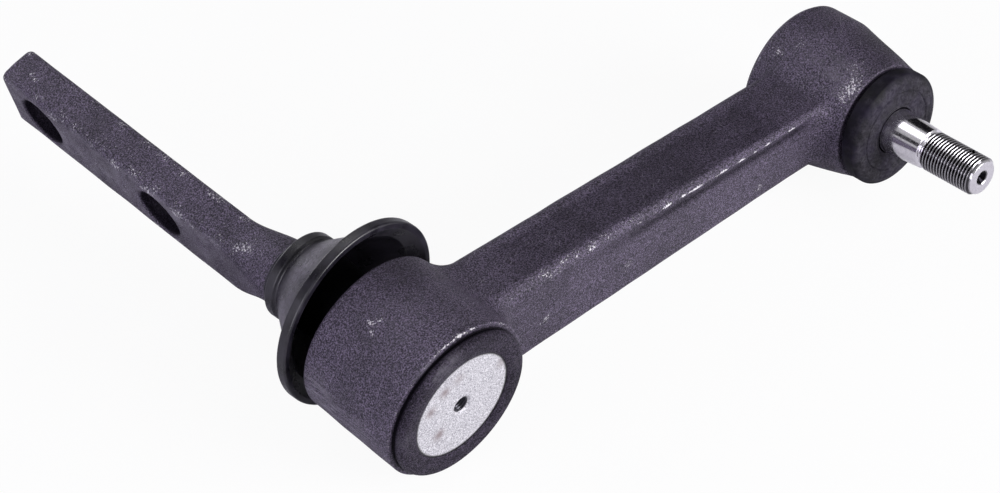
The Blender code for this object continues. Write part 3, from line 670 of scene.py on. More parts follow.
@dataclass(frozen=True)
class ForgedSteel:
    """Hot-forged steel, shot blasted and blackened.

    To the eye it is a dark violet grey with a fine grain. Scale mottles it, thicker blacking clouds it, and
    bare flecks shine where it was knocked or worn. A piece's points carry four marks: wear gathers flecks,
    shade darkens it, mostly as painted shade where little light reaches, the mark for scuffs and painted
    light lays a pale brushed film that is scuffing in places and painted highlight, painted sheen and painted
    light in others, and striae fine pale lines.
    """

    name: str = "blackened_forged_steel"
    light: str = "776b85"
    dark: str = "18141f"
    deep: str = "0d0b11"
    pale: str = "918c99"
    bare: str = "d3d0d6"
    # The grain of the shot is half as wide on the real steel, too fine to show
    grain: Pattern = Pattern(0.55, 3.0, 0.75, 0.42, 0.64)
    mottle: Pattern = Pattern(4.2, 4.0, 0.65, 0.38, 0.66, 0.30)
    film: Pattern = Pattern(4.2, 4.0, 0.65, 0.34, 0.62, 0.75)
    cloud: Pattern = Pattern(26.0, 3.0, 0.6, 0.38, 0.66, 0.30)
    pinpoint: Pattern = Pattern(0.7, 2.0, 0.8, 0.60, 0.70, 0.40)
    chip: Pattern = Pattern(0.8, 4.0, 0.75, 0.675, 0.735)
    handled: Pattern = Pattern(34.0, 1.0, 0.6, 0.46, 0.56, 0.55)
    scratch: Streaks = Streaks(16.0, 0.7, (20.0, 12.0, 38.0), 0.66, 0.71)
    fibre: Streaks = Streaks(9.0, 0.55, (0.0, 0.0, 90.0), 0.46, 0.60, 0.55)
    wear_gain: float = 0.30
    shade_loss: float = 0.30
    shade_cover: float = 0.85
    smooth: float = 0.40
    rough: float = 0.58
    gloss: float = 0.36
    shaded_gloss: float = 0.03
    metallic: float = 0.25  # scale and blacking cover most of the metal
    mottle_bump: Span = (0.40, 0.40)  # strength, and depth in millimetres
    grain_bump: Span = (0.95, 0.32)

    def make(self) -> Material:
        """Build the material: colours are laid over each other by the patterns and the marks.

        Returns:
            The material.
        """
        material, tree = new_material(self.name)
        wear, shade, scuff_and_painted_light, striae = (
            add_node(tree, "ShaderNodeAttribute", {"attribute_name": name}).outputs["Fac"]
            for name in ("wear", "shade", "scuff_and_painted_light", "striae")
        )
        grain = self.grain.noise(tree)
        mottle = self.mottle.noise(tree)
        grains = add_node(tree, "ShaderNodeMapRange", self.grain.step(), {"Value": grain})
        # Handling scratches show only in patches, and the film and the fibres only where they are marked
        products = (
            (self.scratch.add(tree), self.handled.patches(tree)),
            (self.fibre.add(tree), striae),
            (add_node(tree, "ShaderNodeMapRange", self.film.step(), {"Value": mottle}), scuff_and_painted_light),
        )
        scratches, fibres, film = (
            add_node(tree, "ShaderNodeMath", {"operation": "MULTIPLY"}, {0: first, 1: second})
            for first, second in products
        )
        # Painted shade lays the deep colour, sinks the flecks and dims the reflections
        covered, sunk = (
            add_node(tree, "ShaderNodeMath", {"operation": "MULTIPLY", 1: share}, {0: shade})
            for share in (self.shade_cover, self.shade_loss)
        )
        # Wear lifts the chips' noise, and shade sinks it, before its highest places become bare flecks
        lifted = {0: wear, 2: self.chip.noise(tree)}
        level = add_node(tree, "ShaderNodeMath", {"operation": "MULTIPLY_ADD", 1: self.wear_gain}, lifted)
        level = add_node(tree, "ShaderNodeMath", {"operation": "SUBTRACT"}, {0: level, 1: sunk})
        ends = {"data_type": "RGBA", 6: linear(self.dark), 7: linear(self.light)}
        colour = add_node(tree, "ShaderNodeMix", ends, {0: grains}).outputs[2]
        layers = (
            (add_node(tree, "ShaderNodeMapRange", self.mottle.step(), {"Value": mottle}), self.dark),
            (self.cloud.patches(tree), self.deep),
            (self.pinpoint.patches(tree), self.pale),
            (scratches, self.pale),
            (fibres, self.pale),
            (film, self.pale),
            (covered, self.deep),
            (add_node(tree, "ShaderNodeMapRange", self.chip.step(), {"Value": level}), self.bare),
        )
        for share, code in layers:
            settings = {"data_type": "RGBA", 7: linear(code)}
            colour = add_node(tree, "ShaderNodeMix", settings, {0: share, 6: colour}).outputs[2]
        normal = {}
        for (strength, depth), height in ((self.mottle_bump, mottle), (self.grain_bump, grain)):
            settings = {"Strength": strength, "Distance": MILLIMETRE * depth}
            normal = {"Normal": add_node(tree, "ShaderNodeBump", settings, {"Height": height} | normal)}
        rough = {"To Min": self.rough, "To Max": self.smooth}
        gloss = {"To Min": self.gloss, "To Max": self.shaded_gloss}
        inputs = {
            "Base Color": colour,
            "Roughness": add_node(tree, "ShaderNodeMapRange", rough, {"Value": grains}),
            "Specular IOR Level": add_node(tree, "ShaderNodeMapRange", gloss, {"Value": shade}),
        }
        shader = add_node(tree, "ShaderNodeBsdfPrincipled", {"Metallic": self.metallic}, inputs | normal)
        add_node(tree, "ShaderNodeOutputMaterial", links={"Surface": shader})
        return material


@dataclass(frozen=True)
class MouldedRubber:
    """Moulded chloroprene rubber.

    To the eye it is near black, with a sheen and a faint cloudy bloom. Where its mark for scuffs and painted
    light lies, it has a pale film that is dust in part, and painted highlight and painted light in part.
    """

    name: str = "moulded_rubber"
    colour: str = "15131a"
    bloom: str = "27242e"
    # The pale film's colour, for dust on the rubber and for painted highlight and painted light
    dust_and_sheen: str = "7d7884"
    ior: float = 1.52
    specular: float = 0.42
    smooth: float = 0.26
    rough: float = 0.40
    cloud: Pattern = Pattern(9.0, 4.0, 0.6, 0.35, 0.7)
    film_spots: Pattern = Pattern(1.2, 4.0, 0.75, 0.26, 0.74)
    # The mould's texture is finer on the real rubber, too fine to show
    texture: Pattern = Pattern(0.9, 3.0, 0.6, 0.0, 1.0)
    texture_bump: Span = (0.30, 0.12)  # strength, and depth in millimetres

    def make(self) -> Material:
        """Build the material: bloom over rubber by the cloud, and a pale film of dust and painted light over
        both by the film's spots and the mark.

        Returns:
            The material.
        """
        material, tree = new_material(self.name)
        cloud = self.cloud.patches(tree)
        scuff_and_painted_light = add_node(tree, "ShaderNodeAttribute", {"attribute_name": "scuff_and_painted_light"}).outputs["Fac"]
        film_spots = {0: self.film_spots.patches(tree), 1: scuff_and_painted_light}
        film = add_node(tree, "ShaderNodeMath", {"operation": "MULTIPLY"}, film_spots)
        ends = {"data_type": "RGBA", 6: linear(self.colour), 7: linear(self.bloom)}
        rubber = add_node(tree, "ShaderNodeMix", ends, {0: cloud}).outputs[2]
        dust_and_sheen = {"data_type": "RGBA", 7: linear(self.dust_and_sheen)}
        strength, depth = self.texture_bump
        bump = {"Strength": strength, "Distance": MILLIMETRE * depth}
        rough = {"To Min": self.smooth, "To Max": self.rough}
        inputs = {
            "Base Color": add_node(tree, "ShaderNodeMix", dust_and_sheen, {0: film, 6: rubber}).outputs[2],
            "Roughness": add_node(tree, "ShaderNodeMapRange", rough, {"Value": cloud}),
            "Normal": add_node(tree, "ShaderNodeBump", bump, {"Height": self.texture.noise(tree)}),
        }
        settings = {"IOR": self.ior, "Specular IOR Level": self.specular}
        shader = add_node(tree, "ShaderNodeBsdfPrincipled", settings, inputs)
        add_node(tree, "ShaderNodeOutputMaterial", links={"Surface": shader})
        return material


@dataclass(frozen=True)
class PlainMetal:
    """A bare metal whose colour and roughness waver with a fine grain.

    Its points carry two marks: stain, where it is browner, and shade, where it is dark: painted shade and
    painted shadow. The grain is in millimetres and is drawn coarser than the real one, so that it shows.
    """

    name: str
    colour: str
    dull: str
    smooth: float
    rough: float
    grain: float = 0.5
    bump: float = 0.1
    metallic: float = 1.0
    stain: str = "86797c"
    shadow: str = "121115"
    shade_cover: float = 0.94
    gloss: float = 0.5
    shaded_gloss: float = 0.02
    bump_depth: float = 0.12

    def make(self) -> Material:
        """Build the material: the colour over the dull one by the grain, then stain and shadow by the marks.

        Returns:
            The material.
        """
        material, tree = new_material(self.name)
        stain, shade = (
            add_node(tree, "ShaderNodeAttribute", {"attribute_name": name}).outputs["Fac"]
            for name in ("stain", "shade")
        )
        pattern = Pattern(self.grain, 3.0, 0.75, 0.34, 0.66)
        grain = pattern.noise(tree)
        grains = add_node(tree, "ShaderNodeMapRange", pattern.step(), {"Value": grain})
        ends = {"data_type": "RGBA", 6: linear(self.dull), 7: linear(self.colour)}
        colour = add_node(tree, "ShaderNodeMix", ends, {0: grains}).outputs[2]
        covered = add_node(tree, "ShaderNodeMath", {"operation": "MULTIPLY", 1: self.shade_cover}, {0: shade})
        for share, code in ((stain, self.stain), (covered, self.shadow)):
            settings = {"data_type": "RGBA", 7: linear(code)}
            colour = add_node(tree, "ShaderNodeMix", settings, {0: share, 6: colour}).outputs[2]
        rough = {"To Min": self.rough, "To Max": self.smooth}
        gloss = {"To Min": self.gloss, "To Max": self.shaded_gloss}
        bump = {"Strength": self.bump, "Distance": MILLIMETRE * self.bump_depth}
        inputs = {
            "Base Color": colour,
            "Roughness": add_node(tree, "ShaderNodeMapRange", rough, {"Value": grains}),
            "Specular IOR Level": add_node(tree, "ShaderNodeMapRange", gloss, {"Value": shade}),
            "Normal": add_node(tree, "ShaderNodeBump", bump, {"Height": grain}),
        }
        shader = add_node(tree, "ShaderNodeBsdfPrincipled", {"Metallic": self.metallic}, inputs)
        add_node(tree, "ShaderNodeOutputMaterial", links={"Surface": shader})
        return material


@dataclass
class Finishes:
    """The materials of the model, each made once."""

    forged: Material = field(default_factory=ForgedSteel().make)
    boot: Material = field(default_factory=MouldedRubber().make)
    # The seal's rubber is darker and duller than the boot's
    seal: Material = field(
        default_factory=MouldedRubber(
            "moulded_seal_rubber", "08070c", "1b1725", smooth=0.56, rough=0.70, specular=0.10
        ).make
    )
    # Zinc plate: pale, even and satin, with a frosted grain
    cover: Material = field(
        default_factory=PlainMetal(
            "zinc_plated_cover", "e4e2e7", "83818a", 0.46, 0.56, bump=0.8, metallic=0.30
        ).make
    )
    # Turned steel: bright, with sharp dark and pale bands along the shank
    bright: Material = field(
        default_factory=PlainMetal(
            "turned_bright_steel", "ebe8ee", "dcd9e0", 0.10, 0.20, grain=1.2, bump=0.05
        ).make
    )
    # Sintered bronze full of oil: a dull dark brown
    bearing: Material = field(
        default_factory=PlainMetal("oiled_sintered_bearing", "5c5344", "463f34", 0.38, 0.48).make
    )
    # Hardened steel under oil: a smooth dark grey
    spring: Material = field(
        default_factory=PlainMetal("oiled_spring_steel", "4a494f", "36353b", 0.30, 0.40).make
    )


# Forged arm


@dataclass(frozen=True)
class TurnedWall:
    """A turned wall that the beam runs into: its axis, its radius, and the cone at its start."""

    base: Point
    axis: Point
    radius: float
    cone_end: float
    slope: float

    def standoff(self, points: Array) -> tuple[Array, Array]:
        """Distance of points from the wall, and the wall's outward directions there.

        The wall's radius is constant beyond the cone's end and shrinks by the slope before it.

        Args:
            points: Places in the assembly frame.

        Returns:
            The distances and the directions.
        """
        axis = unit(np.array(self.axis))
        offset = points - np.array(self.base)
        depth = offset @ axis
        away = offset - depth[..., None] * axis
        radial = np.linalg.norm(away, axis=-1)
        on_cone = depth < self.cone_end
        radius = self.radius + np.where(on_cone, (depth - self.cone_end) * self.slope, 0.0)
        lean = np.where(on_cone, math.atan(self.slope), 0.0)
        out = away / radial[..., None] * np.cos(lean)[..., None] - np.sin(lean)[..., None] * axis
        return (radial - radius) * np.cos(lean), out


@dataclass
class Beam:
    """The arm's beam, with the fillets by which it runs into the barrel and the socket's housing.

    Sizes ending in _barrel and _socket are the beam's at the pivot and at the ball. Places along the arm are
    distances from the pivot's axis.
    """

    frame: Frame
    socket_axis: Point
    length: float = 231.8
    ball_depth: float = 22.0
    barrel_radius: float = 31.2
    barrel_shoulder: float = 4.6
    front_barrel: float = 15.4
    front_socket: float = 17.0
    width_barrel: float = 26.5
    width_socket: float = 29.4
    height_barrel: float = 41.0
    height_socket: float = 29.8
    drop: float = 0.8
    corner_round: float = 4.6
    crest_round_barrel: float = 5.4
    crest_round_socket: float = 1.8
    barrel_fillet: float = 14.0
    socket_fillet: float = 7.5
    barrel_rear_room: float = 6.8
    barrel_front_margin: float = 1.2
    socket_front_margin: float = 1.6
    socket_rear_margin: float = 2.2
    housing_front: float = 16.6
    housing_rear: float = 28.2
    housing_front_radius: float = 23.9
    housing_rear_radius: float = 30.4
    housing_cone: float = 29.0
    root: float = 3.0  # how far the fillets' last row reaches into the wall
    flare_gap: float = 1.0  # between the fillets and the beam's even rows
    corner_steps: int = 14
    flat_steps: int = 26
    rows: int = 150
    fillet_rows: int = 22
    fillet_share: float = 0.985  # of the ball's arc that is drawn before the last row
    halvings: int = 40
    # The flash line stands proud along the upper front corner, above a crease
    crest_share: float = 0.80
    crease_offset: float = 4.6
    flash: Stripe = Stripe(0.45, 2.0, (70.0, 190.0), (196.0, 203.0))
    crease: Stripe = Stripe(0.55, 2.6, (70.0, 190.0), (196.0, 203.0))
    flash_patches: Patches = Patches(9.0, 3, 0.75, 0.25)
    skin: Patches = Patches(22.0, 5, 0.0, 0.05)
    skin_rise: Span = (34.0, 44.0)
    skin_fall: Span = (190.0, 200.0)
    # Wear gathers on a band near the barrel, on the flash line and on the lower front corner
    band: Stripe = Stripe(0.44, 5.0, (36.0, 60.0), (300.0, 301.0))
    band_loss: float = 0.75
    band_fall: Span = (95.0, 140.0)
    line: Stripe = Stripe(0.88, 1.4, (88.0, 128.0), (188.0, 197.0))
    wear_patches: Patches = Patches(7.0, 31, 0.6, 0.5, (0.0, 1.2))
    lower_wear: float = 0.15
    lower_width: float = 4.0
    nicks: tuple[Spot, ...] = (
        Spot(99.6, 16.1, -4.5, 3.0, 0.5),
        Spot(57.1, 15.8, -5.1, 2.6, 0.5),
        Spot(174.9, 16.6, -8.4, 2.6, 0.55),
    )
    # Painted shade: the top, which the light reaches least, and the crease under the flash line stay dark
    top_shade: float = 0.46
    top_rise: Span = (34.0, 56.0)
    top_fall: Span = (176.0, 198.0)
    dark_crease: Stripe = Stripe(0.85, 2.4, (60.0, 120.0), (192.0, 201.0))

    def section(self, along: Array) -> tuple[Array, Array]:
        """Beam sections: rounded boxes that change evenly along the arm, with a keener upper front corner.

        Args:
            along: Distances from the pivot.

        Returns:
            Points and outward directions, one row for each distance.
        """
        share = np.asarray(along, float)[:, None, None] / self.length
        half_width = (self.width_barrel + share * (self.width_socket - self.width_barrel)) / 2
        half_height = (self.height_barrel + share * (self.height_socket - self.height_barrel)) / 2
        middle = self.front_barrel + share * (self.front_socket - self.front_barrel) + half_width
        even = self.corner_round + 0 * share
        crest = self.crest_round_barrel + share * (self.crest_round_socket - self.crest_round_barrel)
        shares = (np.arange(self.corner_steps) + 0.5) / self.corner_steps
        flat, out = rounded_box(half_width, half_height, (even, crest, even, even), shares, self.flat_steps)
        zeros = np.zeros(flat.shape[:2] + (1,))
        flat = flat + [1, 0] * middle - [0.0, self.drop]
        ring = np.concatenate((zeros + np.asarray(along, float)[:, None, None], flat), axis=-1)
        return ring, np.concatenate((zeros, out), axis=-1)

    def fillet(self, wall: TurnedWall, along: float, radius: float, rooms: Span, inner: float) -> Array:
        """Fillet onto a turned wall, left by a ball that rolls round the beam and touches both.

        The ball's centre stands its radius off the beam and is moved along X, by halving, until it stands its
        radius off the wall too. The fillet is the ball's arc between the two touching points, and a last row
        lies inside the wall.

        Args:
            wall: The wall.
            along: Where along the arm the beam's section is taken.
            radius: The ball's radius.
            rooms: The space on the wall in front of and behind the beam, which limit the radius there.
            inner: A place along the arm inside the wall.

        Returns:
            Rows of points from the beam to the wall.
        """
        ring, out = (part[0] for part in self.section(np.array([along])))
        side = np.minimum(radius, np.where(out[:, 1] > 0, rooms[1], rooms[0]))
        ball = side * out[:, 1] ** 2 + radius * out[:, 2] ** 2
        low, high = np.full(len(ring), inner), ring[:, 0].copy()
        centre = ring + out * ball[:, None]
        for _ in range(self.halvings):
            middle = (low + high) / 2
            centre[:, 0] = middle
            distance, wall_out = wall.standoff(centre)
            clear = distance > ball
            high, low = np.where(clear, middle, high), np.where(clear, low, middle)
        sweep = np.arccos(np.clip((out * wall_out).sum(axis=1), -1.0, 1.0))[None, :, None]
        share = np.linspace(0.0, self.fillet_share, self.fillet_rows)[:, None, None]
        way = (out * np.sin((1 - share) * sweep) + wall_out * np.sin(share * sweep)) / np.sin(sweep)
        rows = centre - way * ball[:, None]
        last = centre - wall_out * (ball[:, None] + self.root)
        return np.concatenate((rows, last[None]))

    def loft(self) -> tuple[Array, Array]:
        """Rows from inside the barrel to inside the socket: a fillet, even sections and the other fillet.

        Returns:
            Points and outward directions.
        """
        barrel = TurnedWall((0, 0, 0), (0, 1, 0), self.barrel_radius, -1000.0, 0.0)
        slope = (self.housing_rear_radius - self.housing_front_radius) / self.housing_cone
        cone_end = self.housing_cone - self.housing_front
        centre = (self.length, self.ball_depth, 0.0)
        housing = TurnedWall(centre, self.socket_axis, self.housing_rear_radius, cone_end, slope)
        start = self.barrel_radius + self.barrel_fillet
        end = self.length - self.housing_rear_radius - self.socket_fillet
        rooms = (self.front_barrel - self.barrel_shoulder - self.barrel_front_margin, self.barrel_rear_room)
        first = self.fillet(barrel, start, self.barrel_fillet, rooms, 0.0)
        front = self.front_socket - self.ball_depth + self.housing_front
        rear = self.ball_depth + self.housing_rear - self.front_socket - self.width_socket
        rooms = (front - self.socket_front_margin, rear - self.socket_rear_margin)
        second = self.fillet(housing, end, self.socket_fillet, rooms, self.length)
        even, outs = self.section(np.linspace(start + self.flare_gap, end - self.flare_gap, self.rows))
        grid = np.concatenate((first[::-1], even, second))
        ends = outs[:1].repeat(len(first), 0), outs[-1:].repeat(len(second), 0)
        return grid, np.concatenate((ends[0], outs, ends[1]))

    def build(self, finishes: Finishes) -> None:
        """Make the beam: relief moves the loft's points out, and marks follow its columns.

        Args:
            finishes: The model's materials.
        """
        grid, out = self.loft()
        along = grid[..., 0]
        column = np.arange(grid.shape[1])[None, :] + 0 * along
        corner, side = self.corner_steps, self.flat_steps
        crest = corner + side + self.crest_share * corner
        crease = self.crease.over(column, crest + self.crease_offset, along)
        flash = self.flash.over(column, crest, along) - crease
        skin = self.skin.over(grid) * between(along, self.skin_rise, self.skin_fall)
        grid = grid + out * (flash * self.flash_patches.over(grid) + skin)[..., None]
        worn = 1 - self.band_loss * ease(along, *self.band_fall)
        band = self.band.over(column, 1.5 * corner + side, along) * worn
        wear = (band + self.line.over(column, crest, along)) * self.wear_patches.over(grid)
        wear += self.lower_wear * near(column, 2.5 * corner + 2 * side, self.lower_width)
        # Painted shade on the top, which the light reaches least, and in the crease
        top = between(column, (corner, corner + 4), (corner + side - 2, corner + side + 3))
        shade = self.top_shade * top * between(along, self.top_rise, self.top_fall)
        shade += self.dark_crease.over(column, crest + self.crease_offset, along)
        marks = {"wear": wear + bells(grid, self.nicks), "shade": shade}
        beam = surface("arm_beam", self.frame.place(grid), marks=marks)
        settle(beam, Body.ARM, Slot.FORGED, finishes.forged)


@dataclass
class Barrel:
    """The arm's pivot barrel, bored, with a rolled neck at its cover end."""

    pivot: Frame
    radius: float = Beam.barrel_radius
    shoulder: float = Beam.barrel_shoulder
    rear: float = 47.3
    neck_radius: float = 29.3
    neck_round: float = 2.2
    groove_height: float = 2.9
    groove_depth: float = 0.9
    lip_bore: float = 21.4
    lip_depth: float = 0.8
    lip_width: float = 3.0
    lip_curl: Span = (0.5, 0.25)  # across and along, where the lip bends in
    groove_edge: float = 0.4
    cover_bore: float = 23.2
    cover_top: float = 1.2
    cover_end: float = 4.2
    pivot_bore: float = 21.5
    bearing_end: float = 23.1
    rear_bore: float = 20.0
    step: float = 1.2
    columns: int = 220
    wall: Span = (29.6, 30.2)  # radii over which the neck becomes the barrel's wall
    skin: Patches = Patches(18.0, 8, 0.0, 0.07)
    skin_radius: float = 30.0  # where the skin is as deep as it says
    # The shoulder's edge is bare, most of all on its front side
    edge_width: float = 0.5
    edge_wear: float = 0.26
    edge_patches: Patches = Patches(6.0, 33, 0.7, 0.5, (0.0, 1.2))
    front_angle: float = -80.0
    front_reach: float = 55.0
    nicks: tuple[Spot, ...] = (
        Spot(-16.7, -26.3, 31.2, 1.7, 0.85),
        Spot(-14.2, -27.7, 29.0, 1.4, 0.7),
        Spot(-18.6, -25.0, 28.4, 1.3, 0.6),
        Spot(-1.5, -31.2, 4.6, 0.9, 0.4),
        Spot(4.6, -30.9, 4.4, 1.0, 0.5),
        Spot(-30.4, -7.0, 2.0, 3.0, 0.4),
    )
    die_lines: tuple[Spot, ...] = (
        Spot(-30.9, 4.5, 43.0, 8.0, 0.9),
        Spot(-29.8, 9.1, 33.0, 8.0, 0.9),
        Spot(-29.3, 10.6, 20.0, 9.0, 0.9),
    )
    # Pale films: scuffs low on the barrel's side, and a painted highlight where the light catches the neck's
    # face
    scuffs_and_sheen: tuple[Spot, ...] = (
        Spot(-14.0, -24.0, 0.6, 4.5, 0.84),
        Spot(-8.0, -26.5, 0.6, 3.5, 0.60),
        Spot(-27.8, -0.9, 0.6, 3.5, 0.48),
        Spot(24.7, -5.9, 0.0, 4.0, 0.24),
        Spot(-31.0, 4.0, 38.0, 6.0, 0.30),
        Spot(-10.0, -29.5, 24.0, 12.0, 0.12),
    )
    # Painted shade on the barrel's top near the boot and in the groove by the shoulder; the neck ring is
    # drawn darker
    shaded: tuple[Spot, ...] = (Spot(3.0, -31.0, 38.0, 14.0, 0.35),)
    neck_shade: float = 0.72
    neck_end: Span = (4.2, 5.2)  # heights over which the neck's shade ends
    groove_shade: float = 0.50
    groove_middle: float = 3.9

    def outline(self) -> Array:
        """The barrel's outline: shoulder, rolled neck, cover recess, bores and rear face.

        Returns:
            Radii and heights of a closed ring.
        """
        return profile(
            [
                (self.radius, self.rear, 1.4),
                (self.radius, self.shoulder, 0.45),
                (self.neck_radius - self.groove_depth, self.shoulder - self.groove_edge, 0.4),
                (self.neck_radius, self.groove_height, 0.5),
                (self.neck_radius, 0.0, self.neck_round),
                (self.lip_bore + self.lip_width, 0.0, 1.2),
                (self.lip_bore + self.lip_curl[0], self.lip_depth - self.lip_curl[1], 0.2),
                (self.lip_bore, self.lip_depth, 0),
                (self.cover_bore, self.cover_top, 0),
                (self.cover_bore, self.cover_end, 0),
                (self.pivot_bore, self.cover_end, 0),
                (self.pivot_bore, self.bearing_end, 0),
                (self.rear_bore, self.bearing_end, 0),
                (self.rear_bore, self.rear, 0.5),
            ],
            ring=True,
        )

    def build(self, finishes: Finishes) -> None:
        """Make the barrel, and mark its edge, its nicks, the die's lines, scuffs, a painted highlight on its
        neck, a darker neck ring, and painted shade in its groove and on its top.

        Args:
            finishes: The model's materials.
        """
        grid = revolve(spread(self.outline(), self.step), self.columns)
        radius = np.hypot(grid[..., 0], grid[..., 1])
        outer = ease(radius, *self.wall)
        grid[..., :2] *= (1 + outer * self.skin.over(grid) / self.skin_radius)[..., None]
        height = grid[..., 2]
        angle = np.degrees(np.arctan2(grid[..., 1], grid[..., 0]))
        bright = self.edge_wear * (1 + near(angle, self.front_angle, self.front_reach))
        edge = near(height, self.shoulder, self.edge_width) * outer * self.edge_patches.over(grid)
        neck = (1 - ease(radius, self.neck_radius, self.wall[1])) * (1 - ease(height, *self.neck_end))
        groove = neck * near(height, self.groove_middle, 1.0)
        marks = {
            "wear": bright * edge + bells(grid, self.nicks),
            "striae": bells(grid, self.die_lines),
            "scuff_and_painted_light": bells(grid, self.scuffs_and_sheen),
            "shade": self.neck_shade * neck + self.groove_shade * groove + bells(grid, self.shaded),
        }
        barrel = surface("arm_barrel", self.pivot.place(grid), True, marks)
        settle(barrel, Body.ARM, Slot.FORGED, finishes.forged, "arm_forging")


@dataclass
class Housing:
    """The arm's socket housing: a cone towards the stud, a cylinder and a chamfered rear, with its bore."""

    socket: Frame
    front: float = Beam.housing_front
    rear: float = Beam.housing_rear
    front_radius: float = Beam.housing_front_radius
    rear_radius: float = Beam.housing_rear_radius
    cone: float = Beam.housing_cone
    chamfer: float = 1.8
    chamfer_width: float = 1.2
    mouth: float = 15.0
    throat: float = 11.8
    seat_start: float = -9.6
    bore: float = 19.0
    cover_bore: float = 20.8
    cover_start: float = 18.8
    cover_end: float = 21.8
    lip_end: float = 23.4
    recess: float = 22.6
    step: float = 1.2
    columns: int = 220
    wall: Span = (24.5, 25.0)  # radii beyond which a point is on the outside
    skin: Patches = Patches(24.0, 9, 0.0, 0.16)
    skin_radius: float = 30.0
    edge_width: float = 0.9
    edge_wear: float = 0.25
    nicks: tuple[Spot, ...] = (
        Spot(-14.0, -20.5, -13.5, 4.0, 0.55),
        Spot(-18.5, -17.0, -12.0, 3.5, 0.5),
        Spot(-8.0, -24.5, -9.0, 5.0, 0.35),
        Spot(-20.0, -23.0, 20.0, 3.0, 0.5),
        Spot(-14.0, -27.0, 14.0, 2.5, 0.4),
    )
    # Painted sheen: pale films on the near side of the cone and the cylinder
    scuffs_and_sheen: tuple[Spot, ...] = (Spot(-15.0, -22.0, -8.0, 9.0, 0.28), Spot(-12.0, -26.0, 8.0, 10.0, 0.12))
    # Painted shade on one side of the housing
    shaded: tuple[Spot, ...] = (Spot(22.0, -17.0, -2.0, 16.0, 0.9),)

    def outline(self) -> Array:
        """The housing's outline: chamfered rear, cylinder, cone, mouth, throat, bore and the cover's groove.

        Returns:
            Radii and heights of a closed ring.
        """
        return profile(
            [
                (self.rear_radius - self.chamfer_width, self.rear, 0.5),
                (self.rear_radius, self.rear - self.chamfer, 0.9),
                (self.rear_radius, self.cone - self.front, 9.0),
                (self.front_radius, -self.front, 0.8),
                (self.mouth, -self.front, 0.6),
                (self.throat, self.seat_start, 0),
                (self.bore, self.seat_start, 0),
                (self.bore, self.cover_start, 0),
                (self.cover_bore, self.cover_start, 0),
                (self.cover_bore, self.cover_end, 0),
                (self.bore, self.cover_end, 0.3),
                (self.bore, self.lip_end, 0.5),
                (self.recess, self.rear, 0.8),
            ],
            ring=True,
        )

    def build(self, finishes: Finishes) -> None:
        """Make the housing, and mark its edges, its nicks, a painted sheen and painted shade on one side.

        Args:
            finishes: The model's materials.
        """
        grid = revolve(spread(self.outline(), self.step), self.columns)
        outer = ease(np.hypot(grid[..., 0], grid[..., 1]), *self.wall)
        grid[..., :2] *= (1 + outer * self.skin.over(grid) / self.skin_radius)[..., None]
        height = grid[..., 2]
        edge = near(height, self.rear - self.chamfer, self.edge_width)
        edge += near(height, -self.front, self.edge_width)
        marks = {
            "wear": self.edge_wear * edge * outer + bells(grid, self.nicks),
            "scuff_and_painted_light": bells(grid, self.scuffs_and_sheen),
            "shade": bells(grid, self.shaded),
        }
        socket = surface("arm_socket", self.socket.place(grid), True, marks)
        settle(socket, Body.ARM, Slot.FORGED, finishes.forged)


# Bracket


